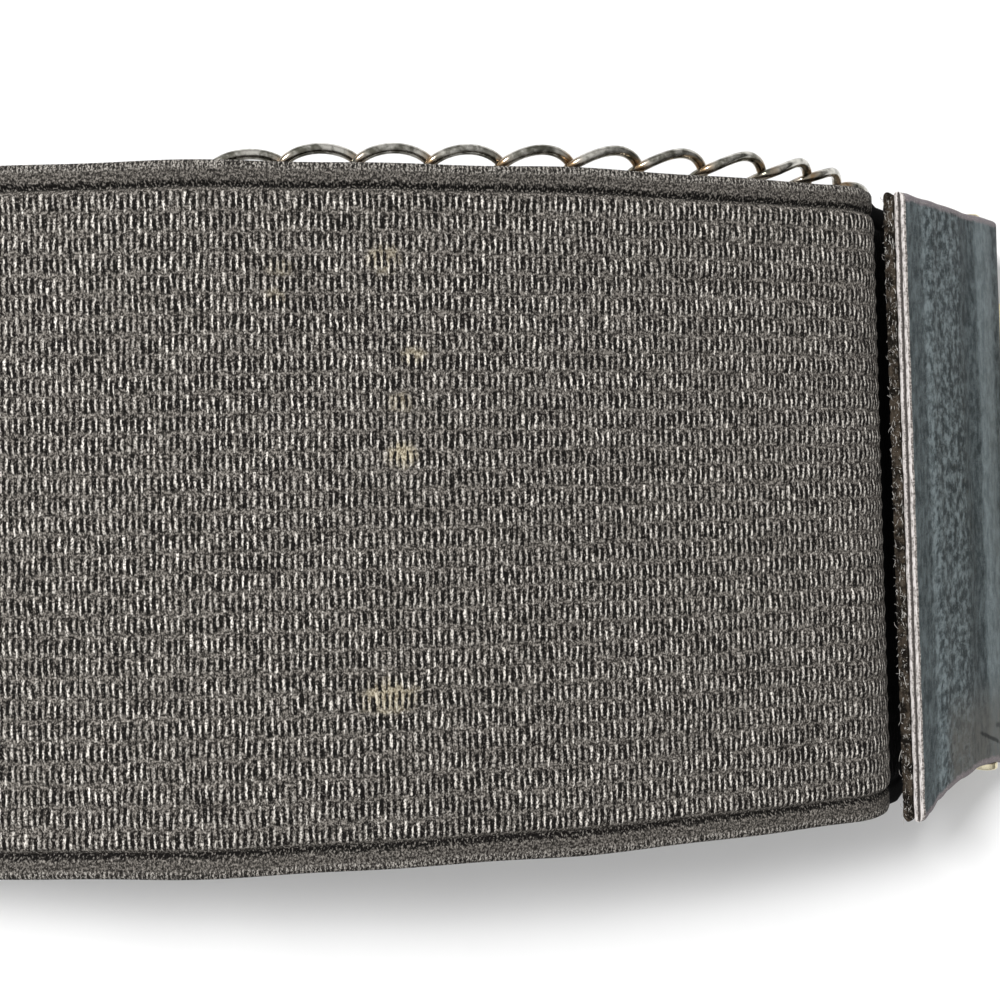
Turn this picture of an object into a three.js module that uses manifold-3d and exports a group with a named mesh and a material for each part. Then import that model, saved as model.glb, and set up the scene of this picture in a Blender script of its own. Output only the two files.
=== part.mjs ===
// A wide elastic waist belt: a woven elastic band, a folded leather tab and one half of a plate clasp
// at each end, and a curb chain along the outer face, held by a stud on each tab.
// It lies open with its inner face up, flat at the left and arched over at the right.
// Millimetres. X runs along the belt, Y across it, Z is up, and it lies on Z = 0.

import * as THREE from "three";
import { mergeVertices } from "three/addons/utils/BufferGeometryUtils.js";
import Module from "manifold-3d";

const wasm = await Module();
wasm.setup();

// Band
const BAND_WIDTH = 76;
const BAND_THICKNESS = 2.2;
const SELVEDGE_WIDTH = 2.4;
const SELVEDGE_THICKNESS = 1.9;
const GROOVE_WIDTH = 0.9;
const GROOVE_DEPTH = 0.5;

// Leather tabs
const TAB_LENGTH = 27;
const WRAP_THICKNESS = 1.4;
const SPLIT_THICKNESS = 1.25;
const SPLIT_SHORTER = 7.5;
const OPENING = 1;
const GAP = 0.3;
const TAB_UPPER = 37.6;
const TAB_LOWER_AT_CUT = 39.2;
const TAB_LOWER_AT_FOLD = 35.4;
const BAND_IN_TAB = 18;
const BAND_INSIDE_TAB = 0.8;

// Clasp
const BAR_RADIUS = 1.2;
const BAR_HEIGHT = 8.4;
const EAR_THICKNESS = 1.6;
const EAR_RADIUS = 1.8;
const PLATE_THICKNESS = 1.6;
const PLATE_BEHIND_BAR = 3;
const PLATE_LENGTH = 27;
const PLATE_END_WIDTH = 54;
const PLATE_CORNER = 6;
const TONGUE_WIDTH = 24;
const TONGUE_GAP = 2.2;
const TONGUE_REACH = 7;
const SLOT_WIDTH = 27;
const SLOT_LENGTH = 6;
const SLOT_FROM_END = 4;

// Chain and its studs
const WIRE_RADIUS = 0.575;
const LINK_HALF_LENGTH = 4.67;
const LINK_HALF_WIDTH = 2.93;
const UPPER_TWIST = 0.52;
const LOWER_TWIST = 0.8;
const LINK_PITCH = 7.9;
const LINK_SIDES = 10;
const LINK_CORNER = 16.1;
const WIRE_SIDES = 5;
const STUD_PAST_LINK = 2;
const STUD_SHANK_RADIUS = 1;
const STUD_HEAD_RADIUS = 3;
const STUD_BASE = 0.4;
const STUD_HEAD = 0.7;
const STUD_SPAN = 3;
const STUD_SIDES = 10;
const LEFT_STUD = 17;
const RIGHT_STUD = 15.5;

// The belt's course from its left fold to its right fold. Each row is one stretch: its length, how
// far the belt turns down and turns sideways along it in degrees, and how many steps it is made in.
const COURSE = [
  { stretch: "left tab", length: TAB_LENGTH, down: 0, side: 0, steps: 1 },
  { stretch: "off the tab", length: 40, down: 6.15, side: 0, steps: 4 },
  { stretch: "onto the surface", length: 40, down: -6.15, side: 0, steps: 4 },
  { stretch: "flat", length: 161, down: 0, side: 0, steps: 6 },
  { stretch: "left foot", length: 50, down: -20, side: 0, steps: 5 },
  { stretch: "rise", length: 54, down: 0, side: 0, steps: 1 },
  { stretch: "left shoulder", length: 80, down: 20, side: 0, steps: 7 },
  { stretch: "right shoulder", length: 40, down: 11.08, side: 0.2, steps: 4 },
  { stretch: "fall", length: 40, down: 6.49, side: 0.4, steps: 2 },
  { stretch: "dip at the tab", length: 8, down: 52.65, side: 0.3, steps: 6 },
  { stretch: "into the tab", length: 3, down: -30.27, side: 0, steps: 4 },
  { stretch: "right tab", length: TAB_LENGTH, down: 0, side: 0, steps: 1 },
];
const COURSE_STEP = 0.5;
const SPECK_VOLUME = 0.01;

// The band leans on the chain along the flat stretch, so its lower edge comes down to the surface.
const LEAN = [
  { along: 41, degrees: 0 },
  { along: 107, degrees: 2.85 },
  { along: 258, degrees: 2.85 },
  { along: 318, degrees: 0 },
];

// Where the chain's middle line runs: how far up the belt, and how far its links are rolled about
// their own line.
const CHAIN_COURSE = [
  { along: 17, side: 27, roll: 0 },
  { along: 34, side: 28.5, roll: 0 },
  { along: 60, side: 30, roll: 0 },
  { along: 330, side: 30, roll: 0 },
  { along: 416, side: 32, roll: 6 },
  { along: 452, side: 35, roll: 10 },
  { along: 470, side: 37.3, roll: 14 },
  { along: 488, side: 37.6, roll: 26 },
  { along: 505, side: 38.4, roll: 46 },
  { along: 520, side: 38.8, roll: 52 },
  { along: 532, side: 39.1, roll: 54 },
  { along: 541, side: 39.6, roll: 46 },
  { along: 554.5, side: 33.6, roll: 12 },
];

// How far the chain runs under the band's middle. Past the place where it leaves the band it runs
// straight to the right-hand stud, under the dip.
const CHAIN_UNDER = [
  { along: 17, depth: 4.95 },
  { along: 34, depth: 4 },
  { along: 60, depth: 2.95 },
  { along: 520, depth: 2.95 },
  { along: 554.5, depth: 4.95 },
];
const CHAIN_LEAVES = 525.7;

const colours = {
  elastic: new THREE.MeshStandardMaterial({ color: 0x3a3937, roughness: 0.85, metalness: 0 }),
  leather: new THREE.MeshStandardMaterial({ color: 0x3b4446, roughness: 0.55, metalness: 0 }),
  split: new THREE.MeshStandardMaterial({ color: 0x3a2f28, roughness: 0.95, metalness: 0 }),
  chain: new THREE.MeshStandardMaterial({ color: 0x8c8577, roughness: 0.3, metalness: 1 }),
  clasp: new THREE.MeshStandardMaterial({ color: 0xd8cfa4, roughness: 0.25, metalness: 1 }),
};

// Reads a value out of a table of rows, easing smoothly from each row to the next.
function ease(table, column, along) {
  const last = table.length - 1;
  if (along <= table[0].along) return table[0][column];
  if (along >= table[last].along) return table[last][column];
  const next = table.findIndex((row) => row.along > along);
  const from = table[next - 1];
  const to = table[next];
  const share = THREE.MathUtils.smoothstep(along, from.along, to.along);
  return THREE.MathUtils.lerp(from[column], to[column], share);
}

// Walks the course in short steps and notes the place, slope and heading at each.
function walkCourse(startHeight) {
  const place = new THREE.Vector3(0, 0, startHeight);
  const stations = [{ place: place.clone(), slope: 0, heading: 0 }];
  let slope = 0;
  let heading = 0;
  for (const row of COURSE) {
    const count = Math.round(row.length / COURSE_STEP);
    const turn = THREE.MathUtils.degToRad(row.down) / count;
    const veer = THREE.MathUtils.degToRad(row.side) / count;
    for (let i = 0; i < count; i += 1) {
      slope += turn / 2;
      heading += veer / 2;
      const flat = Math.cos(slope) * COURSE_STEP;
      place.x += flat * Math.cos(heading);
      place.y += flat * Math.sin(heading);
      place.z -= Math.sin(slope) * COURSE_STEP;
      slope += turn / 2;
      heading += veer / 2;
      stations.push({ place: place.clone(), slope, heading });
    }
  }
  return stations;
}

// Heights in the tabs, measured from the band's middle: the wrap's two arms and its fold.
const SPLIT_BOTTOM = BAND_THICKNESS / 2 + OPENING;
const SPLIT_TOP = SPLIT_BOTTOM + SPLIT_THICKNESS;
const INNER_ARM = SPLIT_TOP + GAP / 2;
const OUTER_ARM = -BAND_THICKNESS / 2 - GAP;
const FOLD_MIDDLE = (INNER_ARM + OUTER_ARM) / 2;
const FOLD_INNER_RADIUS = (INNER_ARM - OUTER_ARM) / 2;
const FOLD_RADIUS = FOLD_INNER_RADIUS + WRAP_THICKNESS;

const stations = walkCourse(BAR_HEIGHT - FOLD_MIDDLE);
const TOTAL = (stations.length - 1) * COURSE_STEP;
const RIGHT_CUT = TOTAL - TAB_LENGTH;

// The belt's own axes at a distance along it: along the belt, across it, and out of its inner face.
function frameAt(along) {
  const exact = THREE.MathUtils.clamp(along / COURSE_STEP, 0, stations.length - 1.001);
  const before = stations[Math.floor(exact)];
  const after = stations[Math.floor(exact) + 1];
  const share = exact - Math.floor(exact);
  const slope = THREE.MathUtils.lerp(before.slope, after.slope, share);
  const heading = THREE.MathUtils.lerp(before.heading, after.heading, share);
  const axes = new THREE.Matrix4().makeRotationFromEuler(
    new THREE.Euler(THREE.MathUtils.degToRad(ease(LEAN, "degrees", along)), slope, heading, "ZYX"),
  );
  return { place: before.place.clone().lerp(after.place, share), axes, heading };
}

// The point at a distance along the belt, across it and out of it.
function onBelt(along, across, out) {
  const frame = frameAt(along);
  return new THREE.Vector3(0, across, out).applyMatrix4(frame.axes).add(frame.place);
}

// Moves every vertex of a geometry: place(x, y, z) gives its new point.
function remap(geometry, place) {
  const position = geometry.attributes.position;
  for (let i = 0; i < position.count; i += 1) {
    const point = place(position.getX(i), position.getY(i), position.getZ(i));
    position.setXYZ(i, point.x, point.y, point.z);
  }
  geometry.computeVertexNormals();
  return geometry;
}

// A closed geometry as a solid that can be joined and cut.
function solidOf(geometry) {
  const bare = geometry.clone();
  bare.deleteAttribute("normal");
  bare.deleteAttribute("uv");
  const merged = mergeVertices(bare, 1e-4);
  return new wasm.Manifold(new wasm.Mesh({
    numProp: 3,
    vertProperties: Float32Array.from(merged.attributes.position.array),
    triVerts: Uint32Array.from(merged.index.array),
  }));
}

function geometryOf(solid) {
  const mesh = solid.getMesh();
  const geometry = new THREE.BufferGeometry();
  geometry.setAttribute("position", new THREE.Float32BufferAttribute(mesh.vertProperties, 3));
  geometry.setIndex(new THREE.BufferAttribute(mesh.triVerts, 1));
  geometry.computeVertexNormals();
  return geometry;
}

// Joins geometries, without the specks left where two surfaces only graze.
function joined(geometries) {
  const whole = geometries.map(solidOf).reduce((sum, next) => sum.add(next));
  const bodies = whole.decompose().filter((body) => body.volume() > SPECK_VOLUME);
  return bodies.reduce((sum, next) => sum.add(next));
}

function pointsOf(rows) {
  return rows.map(([x, y]) => new THREE.Vector2(x, y));
}

// The lower side of a tab, which narrows from its cut edge to its fold.
function tabLower(fromCut) {
  const share = THREE.MathUtils.clamp(fromCut / TAB_LENGTH, 0, 1);
  return -THREE.MathUtils.lerp(TAB_LOWER_AT_CUT, TAB_LOWER_AT_FOLD, share);
}

// Distances along the belt at which the band is made, from one end inside its tab to the other.
function bandStops() {
  const stops = [TAB_LENGTH - BAND_IN_TAB];
  let reached = 0;
  for (const row of COURSE.slice(0, -1)) {
    for (let i = 1; i <= row.steps; i += 1) stops.push(reached + (row.length * i) / row.steps);
    reached += row.length;
  }
  stops.push(RIGHT_CUT + BAND_IN_TAB);
  return stops;
}

// How much of its full width the band keeps on one side. Inside a tab it is gathered in, so that
// the leather covers its end.
function bandShare(along, isUpper) {
  const fromCut = Math.max(TAB_LENGTH - along, along - RIGHT_CUT);
  if (fromCut <= 0) return 1;
  const covered = (isUpper ? TAB_UPPER : -tabLower(fromCut)) - BAND_INSIDE_TAB;
  return covered / (BAND_WIDTH / 2);
}

// The woven band: a thin section with a rounded selvedge and a groove beside it on the inner face,
// carried along the belt's course.
function elasticBand() {
  const half = BAND_WIDTH / 2;
  const top = BAND_THICKNESS / 2;
  const lip = SELVEDGE_THICKNESS / 2;
  const inner = half - SELVEDGE_WIDTH;
  const round = 0.5;
  const rightHalf = [
    [half, -lip],
    [half, lip - round],
    [half - round, lip],
    [inner, lip],
    [inner - GROOVE_WIDTH / 2, top - GROOVE_DEPTH],
    [inner - GROOVE_WIDTH, top],
  ];
  const leftHalf = rightHalf.map(([x, y]) => [-x, y]).reverse();
  const section = new THREE.Shape(pointsOf([...rightHalf, ...leftHalf]));
  const stops = bandStops();
  const steps = stops.length - 1;
  const geometry = new THREE.ExtrudeGeometry(section, { depth: steps, steps, bevelEnabled: false });
  return remap(geometry, (across, out, step) => {
    const along = stops[Math.round(step)];
    return onBelt(along, across * bandShare(along, across > 0), out);
  });
}

// Puts an outline of distances from the cut edge and heights out of the belt onto one end's tab.
function acrossTab(outline, isRight) {
  const options = { depth: 1, steps: 1, bevelEnabled: false, curveSegments: 6 };
  const geometry = new THREE.ExtrudeGeometry(outline, options);
  return remap(geometry, (fromCut, out, share) => {
    const along = isRight ? RIGHT_CUT + fromCut : TAB_LENGTH - fromCut;
    const lowerShare = isRight ? share : 1 - share;
    const across = THREE.MathUtils.lerp(TAB_UPPER, tabLower(fromCut), lowerShare);
    return onBelt(along, across, out);
  });
}

// The grain leather, folded once round the clasp's bar with the band between its two arms.
function tabWrap(isRight) {
  const turn = TAB_LENGTH - FOLD_RADIUS;
  const outline = new THREE.Shape();
  outline.moveTo(0, OUTER_ARM - WRAP_THICKNESS);
  outline.lineTo(turn, OUTER_ARM - WRAP_THICKNESS);
  outline.absarc(turn, FOLD_MIDDLE, FOLD_RADIUS, -Math.PI / 2, Math.PI / 2, false);
  outline.lineTo(0, INNER_ARM + WRAP_THICKNESS);
  outline.lineTo(0, INNER_ARM);
  outline.lineTo(turn, INNER_ARM);
  outline.absarc(turn, FOLD_MIDDLE, FOLD_INNER_RADIUS, Math.PI / 2, -Math.PI / 2, true);
  outline.lineTo(0, OUTER_ARM);
  return acrossTab(outline, isRight);
}

// The flesh split, a plain strip between the band and the wrap's inner arm.
function tabSplit(isRight) {
  const length = TAB_LENGTH - SPLIT_SHORTER;
  const outline = new THREE.Shape(pointsOf([
    [0, SPLIT_BOTTOM],
    [length, SPLIT_BOTTOM],
    [length, SPLIT_TOP],
    [0, SPLIT_TOP],
  ]));
  return acrossTab(outline, isRight);
}

// The clasp half's own axes: X away from the belt, Y across, Z up from the surface, bar at X = 0.
// upper and lower are the tab's two sides as this half's own +Y and -Y sides.
function claspBar(upper, lower) {
  const bar = new THREE.CylinderGeometry(BAR_RADIUS, BAR_RADIUS, upper + lower + EAR_THICKNESS, 12);
  bar.translate(0, (upper - lower) / 2, BAR_HEIGHT);
  return bar;
}

// An ear: a flat lug from the plate up round the end of the bar.
function claspEar(side) {
  const outline = new THREE.Shape();
  outline.moveTo(-EAR_RADIUS, PLATE_THICKNESS / 2);
  outline.lineTo(EAR_RADIUS, PLATE_THICKNESS / 2);
  outline.lineTo(EAR_RADIUS, BAR_HEIGHT);
  outline.absarc(0, BAR_HEIGHT, EAR_RADIUS, 0, Math.PI, false);
  const options = { depth: EAR_THICKNESS, steps: 1, bevelEnabled: false, curveSegments: 5 };
  const ear = new THREE.ExtrudeGeometry(outline, options);
  ear.rotateX(Math.PI / 2);
  ear.translate(0, side, 0);
  return ear;
}

// The plate: as wide as the ears behind the bar, narrowing to a rounded far end.
function claspPlate(upper, lower) {
  const back = -PLATE_BEHIND_BAR;
  const front = back + PLATE_LENGTH;
  const end = PLATE_END_WIDTH / 2;
  const waist = EAR_RADIUS + 2;
  const outline = new THREE.Shape();
  outline.moveTo(back, -lower);
  outline.lineTo(waist, -lower);
  outline.lineTo(front - PLATE_CORNER, -end);
  outline.quadraticCurveTo(front, -end, front, -end + PLATE_CORNER);
  outline.lineTo(front, end - PLATE_CORNER);
  outline.quadraticCurveTo(front, end, front - PLATE_CORNER, end);
  outline.lineTo(waist, upper);
  outline.lineTo(back, upper);
  const options = { depth: PLATE_THICKNESS, steps: 1, bevelEnabled: false, curveSegments: 4 };
  return new THREE.ExtrudeGeometry(outline, options);
}

// The tongue: it leaves the plate's far end and hooks back over itself.
function claspTongue() {
  const front = PLATE_LENGTH - PLATE_BEHIND_BAR;
  const turn = front + TONGUE_GAP;
  const inner = TONGUE_GAP / 2;
  const outer = inner + PLATE_THICKNESS;
  const outline = new THREE.Shape();
  outline.moveTo(front - 1, 0);
  outline.lineTo(turn, 0);
  outline.absarc(turn, outer, outer, -Math.PI / 2, Math.PI / 2, false);
  outline.lineTo(turn - TONGUE_REACH, 2 * outer);
  outline.lineTo(turn - TONGUE_REACH, 2 * outer - PLATE_THICKNESS);
  outline.lineTo(turn, 2 * outer - PLATE_THICKNESS);
  outline.absarc(turn, outer, inner, Math.PI / 2, -Math.PI / 2, true);
  outline.lineTo(front - 1, PLATE_THICKNESS);
  const options = { depth: TONGUE_WIDTH, steps: 1, bevelEnabled: false, curveSegments: 6 };
  const tongue = new THREE.ExtrudeGeometry(outline, options);
  tongue.rotateX(Math.PI / 2);
  tongue.translate(0, TONGUE_WIDTH / 2, 0);
  return tongue;
}

function claspBody(upperEdge, lowerEdge) {
  const upper = upperEdge + GAP + EAR_THICKNESS;
  const lower = lowerEdge + GAP + EAR_THICKNESS;
  return [
    claspPlate(upper, lower),
    claspBar(upperEdge + GAP, lowerEdge + GAP),
    claspEar(upper),
    claspEar(-lower + EAR_THICKNESS),
  ];
}

function claspHook() {
  const lowerEdge = -tabLower(TAB_LENGTH - FOLD_RADIUS - EAR_RADIUS);
  return geometryOf(joined([...claspBody(TAB_UPPER, lowerEdge), claspTongue()]));
}

function claspEye() {
  const upperEdge = -tabLower(TAB_LENGTH - FOLD_RADIUS - EAR_RADIUS);
  const slot = new THREE.BoxGeometry(SLOT_LENGTH, SLOT_WIDTH, 4 * PLATE_THICKNESS);
  const slotMiddle = PLATE_LENGTH - PLATE_BEHIND_BAR - SLOT_FROM_END - SLOT_LENGTH / 2;
  slot.translate(slotMiddle, 0, 0);
  return geometryOf(joined(claspBody(upperEdge, TAB_UPPER)).subtract(solidOf(slot)));
}

// Stands a clasp half at the end of the belt, its bar inside the tab's fold and its plate level.
function placeClasp(mesh, isRight) {
  const along = isRight ? TOTAL - FOLD_RADIUS : FOLD_RADIUS;
  const middle = onBelt(along, 0, FOLD_MIDDLE);
  mesh.position.set(middle.x, middle.y, 0);
  mesh.rotation.z = frameAt(along).heading + (isRight ? 0 : Math.PI);
  return mesh;
}

// A point of the chain's middle line.
function chainLine(along) {
  const side = ease(CHAIN_COURSE, "side", along);
  if (along <= CHAIN_LEAVES) return onBelt(along, side, -ease(CHAIN_UNDER, "depth", along));
  const last = TOTAL - RIGHT_STUD;
  const from = onBelt(CHAIN_LEAVES, 0, -ease(CHAIN_UNDER, "depth", CHAIN_LEAVES));
  const to = onBelt(last, 0, -ease(CHAIN_UNDER, "depth", last));
  const share = (along - CHAIN_LEAVES) / (last - CHAIN_LEAVES);
  const across = new THREE.Vector3(0, 1, 0).transformDirection(frameAt(along).axes);
  return from.lerp(to, share).addScaledVector(across, side);
}

// Places along the belt at which the links' middles sit, evenly apart along the chain's own line.
function linkStops() {
  const step = 0.25;
  const walked = [{ along: LEFT_STUD, length: 0 }];
  let previous = chainLine(LEFT_STUD);
  for (let along = LEFT_STUD + step; along <= TOTAL - RIGHT_STUD; along += step) {
    const here = chainLine(along);
    walked.push({ along, length: walked.at(-1).length + here.distanceTo(previous) });
    previous = here;
  }
  const usable = walked.at(-1).length - 2 * STUD_PAST_LINK;
  const count = Math.round(usable / LINK_PITCH);
  return Array.from({ length: count + 1 }, (_, i) => {
    const wanted = STUD_PAST_LINK + (usable * i) / count;
    return walked.find((row) => row.length >= wanted).along;
  });
}

// One curb link: an oval ring of wire whose two sides leave the flat in opposite senses, so that
// each link passes over one side of the next and under the other. The upper sides touch and are
// soldered, and the lower sides, which are twisted a little more, pass clear. A link points from the
// one before it to the one after it.
function curbLink(along, index, stops) {
  const ring = new THREE.TorusGeometry(1, WIRE_RADIUS, WIRE_SIDES, LINK_SIDES);
  ring.rotateZ(THREE.MathUtils.degToRad(LINK_CORNER));
  const before = chainLine(stops[Math.max(index - 1, 0)]);
  const after = chainLine(stops[Math.min(index + 1, stops.length - 1)]);
  const ahead = after.sub(before).normalize();
  const out = new THREE.Vector3(0, 0, 1).transformDirection(frameAt(along).axes);
  const across = new THREE.Vector3().crossVectors(out, ahead).normalize();
  out.crossVectors(ahead, across);
  const roll = THREE.MathUtils.degToRad(ease(CHAIN_COURSE, "roll", along));
  const axes = new THREE.Matrix4().makeBasis(ahead, across, out);
  axes.multiply(new THREE.Matrix4().makeRotationX(roll));
  axes.setPosition(chainLine(along));
  return remap(ring, (x, y, z) => {
    const angle = Math.atan2(y, x);
    const outward = Math.hypot(x, y) - 1;
    const normal = new THREE.Vector2(
      Math.cos(angle) / LINK_HALF_LENGTH,
      Math.sin(angle) / LINK_HALF_WIDTH,
    ).normalize();
    const twist = angle > 0 ? UPPER_TWIST : LOWER_TWIST;
    return new THREE.Vector3(
      LINK_HALF_LENGTH * Math.cos(angle) + outward * normal.x,
      LINK_HALF_WIDTH * Math.sin(angle) + outward * normal.y,
      z - twist * Math.sin(2 * angle),
    ).applyMatrix4(axes);
  });
}

function curbChain() {
  return geometryOf(joined(linkStops().map(curbLink)));
}

// A stud: a base on the tab's outer face, a shank through the chain's last link, and a flat head.
function chainStud(along) {
  const shankEnd = STUD_BASE + STUD_SPAN;
  const end = shankEnd + STUD_HEAD;
  const profile = pointsOf([
    [0, -end],
    [STUD_HEAD_RADIUS, -end],
    [STUD_HEAD_RADIUS, -shankEnd],
    [STUD_SHANK_RADIUS, -shankEnd],
    [STUD_SHANK_RADIUS, -STUD_BASE],
    [STUD_HEAD_RADIUS, -STUD_BASE],
    [STUD_HEAD_RADIUS, 0],
    [0, 0],
  ]);
  const geometry = new THREE.LatheGeometry(profile, STUD_SIDES);
  const side = ease(CHAIN_COURSE, "side", along);
  const base = OUTER_ARM - WRAP_THICKNESS - GAP;
  return remap(geometry, (x, y, z) => onBelt(along + x, side - z, base + y));
}

const belt = new THREE.Group();

function addPiece(name, geometry, material) {
  const mesh = new THREE.Mesh(geometry, material);
  mesh.name = name;
  belt.add(mesh);
  return mesh;
}

addPiece("elastic_band", elasticBand(), colours.elastic);
for (const isRight of [false, true]) {
  const end = isRight ? "right" : "left";
  const studAlong = isRight ? TOTAL - RIGHT_STUD : LEFT_STUD;
  addPiece(`${end}_tab_wrap`, tabWrap(isRight), colours.leather);
  addPiece(`${end}_tab_split`, tabSplit(isRight), colours.split);
  addPiece(`${end}_chain_stud`, chainStud(studAlong), colours.clasp);
}
placeClasp(addPiece("left_clasp_eye", claspEye(), colours.clasp), false);
placeClasp(addPiece("right_clasp_hook", claspHook(), colours.clasp), true);
addPiece("curb_chain", curbChain(), colours.chain);

// The origin is at the middle of the belt's footprint, on the surface.
const footprint = new THREE.Box3().setFromObject(belt);
const middle = footprint.getCenter(new THREE.Vector3());
belt.position.set(-middle.x, -middle.y, -footprint.min.z);

export default belt;
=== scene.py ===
# %% [markdown]
# # Dressing a chain belt
# The belt is a wide band of woven elastic with a folded leather tab and half of a plate clasp at each
# end, and a curb chain along its outer face. It lies with its inner face up: flat at the left, and
# arched over at the right. The solids give every size and place. This lesson gives them their looks.

import bpy
import numpy as np
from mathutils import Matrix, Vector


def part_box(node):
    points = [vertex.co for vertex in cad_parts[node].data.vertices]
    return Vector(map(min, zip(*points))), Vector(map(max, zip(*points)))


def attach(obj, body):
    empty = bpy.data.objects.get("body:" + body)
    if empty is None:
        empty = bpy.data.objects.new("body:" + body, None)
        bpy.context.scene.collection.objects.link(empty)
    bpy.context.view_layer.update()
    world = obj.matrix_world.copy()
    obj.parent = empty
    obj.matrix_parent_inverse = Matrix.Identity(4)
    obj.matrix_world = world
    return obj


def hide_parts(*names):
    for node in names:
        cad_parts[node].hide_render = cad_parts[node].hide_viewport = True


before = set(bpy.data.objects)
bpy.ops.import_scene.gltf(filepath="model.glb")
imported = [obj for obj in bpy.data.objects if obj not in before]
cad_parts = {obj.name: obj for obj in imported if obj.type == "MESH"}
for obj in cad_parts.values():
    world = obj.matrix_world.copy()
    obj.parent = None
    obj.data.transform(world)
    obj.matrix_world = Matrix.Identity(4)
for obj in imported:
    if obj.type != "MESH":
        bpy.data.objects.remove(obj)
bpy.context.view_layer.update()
MM = 0.001

# %% [markdown]
# ## The belt's course
# A belt that lies in waves is easiest to make flat and then bend. So the course comes first, as a
# table of stretches: how long each one is, and how far the belt turns down and sideways along it.
# Walking the course in half-millimetre steps gives a place and three axes at any distance along the
# belt. Every piece is then made straight, in distances along, across and out of the belt.

# %% The course as a table, in millimetres and degrees
TAB_LENGTH = 27
COURSE = [
    dict(stretch="left tab", length=TAB_LENGTH, down=0, side=0),
    dict(stretch="off the tab", length=40, down=6.15, side=0),
    dict(stretch="onto the surface", length=40, down=-6.15, side=0),
    dict(stretch="flat", length=161, down=0, side=0),
    dict(stretch="left foot", length=50, down=-20, side=0),
    dict(stretch="rise", length=54, down=0, side=0),
    dict(stretch="left shoulder", length=80, down=20, side=0),
    dict(stretch="right shoulder", length=40, down=11.08, side=0.2),
    dict(stretch="fall", length=40, down=6.49, side=0.4),
    dict(stretch="dip at the tab", length=8, down=52.65, side=0.3),
    dict(stretch="into the tab", length=3, down=-30.27, side=0),
    dict(stretch="right tab", length=TAB_LENGTH, down=0, side=0),
]
COURSE_STEP = 0.5
LEAN = dict(along=[41, 107, 258, 318], degrees=[0, 2.85, 2.85, 0])
CROWN = 452


def eased(table, column, along):
    """A column of a table, read at distances along the belt. Between two rows it runs from one value
    to the other as 3 t^2 - 2 t^3."""
    rows = np.asarray(table["along"], float)
    values = np.asarray(table[column], float)
    before = np.clip(np.searchsorted(rows, along, side="right") - 1, 0, len(rows) - 2)
    share = np.clip((along - rows[before]) / (rows[before + 1] - rows[before]), 0, 1)
    return values[before] + (values[before + 1] - values[before]) * share * share * (3 - 2 * share)


# %% [markdown]
# The heights inside a tab are built up like a sandwich from the band's middle: half the band, an
# opening that shows as a black line, the flesh split, a small gap, the leather. The leather folds
# round the clasp's bar, and the middle of that fold is what sets how high the belt starts.

# %% Heights inside a tab, in millimetres from the band's middle
BAND_WIDTH = 76
BAND_THICKNESS = 2.2
WRAP_THICKNESS = 1.4
SPLIT_THICKNESS = 1.25
OPENING = 1
GAP = 0.3
BAR_HEIGHT = 8.4
SPLIT_BOTTOM = BAND_THICKNESS / 2 + OPENING
SPLIT_TOP = SPLIT_BOTTOM + SPLIT_THICKNESS
INNER_ARM = SPLIT_TOP + GAP / 2
OUTER_ARM = -BAND_THICKNESS / 2 - GAP
FOLD_MIDDLE = (INNER_ARM + OUTER_ARM) / 2
FOLD_RADIUS = (INNER_ARM - OUTER_ARM) / 2 + WRAP_THICKNESS
print("The fold's outer radius is", round(FOLD_RADIUS, 3), "mm")


# %% Walk the course
def walk(start_height):
    """Place, slope and heading at each step. Each step moves along the mean direction of its two
    ends: forward by its cosines, and down by the sine of its slope."""
    counts = np.array([round(row["length"] / COURSE_STEP) for row in COURSE])
    turns = np.radians([row["down"] for row in COURSE]) / counts
    veers = np.radians([row["side"] for row in COURSE]) / counts
    slope = np.concatenate([[0], np.cumsum(np.repeat(turns, counts))])
    heading = np.concatenate([[0], np.cumsum(np.repeat(veers, counts))])
    mid_slope = (slope[1:] + slope[:-1]) / 2
    mid_heading = (heading[1:] + heading[:-1]) / 2
    steps = np.stack([
        np.cos(mid_slope) * np.cos(mid_heading),
        np.cos(mid_slope) * np.sin(mid_heading),
        -np.sin(mid_slope),
    ], axis=1) * COURSE_STEP
    place = np.concatenate([[[0, 0, start_height]], [0, 0, start_height] + np.cumsum(steps, axis=0)])
    return place, slope, heading


PLACE, SLOPE, HEADING = walk(BAR_HEIGHT - FOLD_MIDDLE)
STATIONS = np.arange(len(PLACE)) * COURSE_STEP
TOTAL = STATIONS[-1]
RIGHT_CUT = TOTAL - TAB_LENGTH
wrap_low, wrap_high = np.array(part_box("left_tab_wrap")) / MM
TAB_UPPER = 37.6
SHIFT = np.array([wrap_low[0], wrap_high[1] - TAB_UPPER, 0])
print("The belt is", TOTAL, "mm from fold to fold, shifted by", np.round(SHIFT, 3))


def axes_at(along):
    """The belt's forward, across and out axes at distances along it: the lean about the forward axis,
    then the slope, then the heading."""
    slope = np.interp(along, STATIONS, SLOPE)
    heading = np.interp(along, STATIONS, HEADING)
    lean = np.radians(eased(LEAN, "degrees", along))

    def turned(x, y, z):
        """Tips a direction down by the slope and then turns it by the heading."""
        level = x * np.cos(slope) + z * np.sin(slope)
        rise = z * np.cos(slope) - x * np.sin(slope)
        return np.stack([
            level * np.cos(heading) - y * np.sin(heading),
            level * np.sin(heading) + y * np.cos(heading),
            rise,
        ], axis=-1)

    nothing = np.zeros_like(slope)
    forward = turned(nothing + 1, nothing, nothing)
    across = turned(nothing, np.cos(lean), np.sin(lean))
    out = turned(nothing, -np.sin(lean), np.cos(lean))
    return forward, across, out


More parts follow.
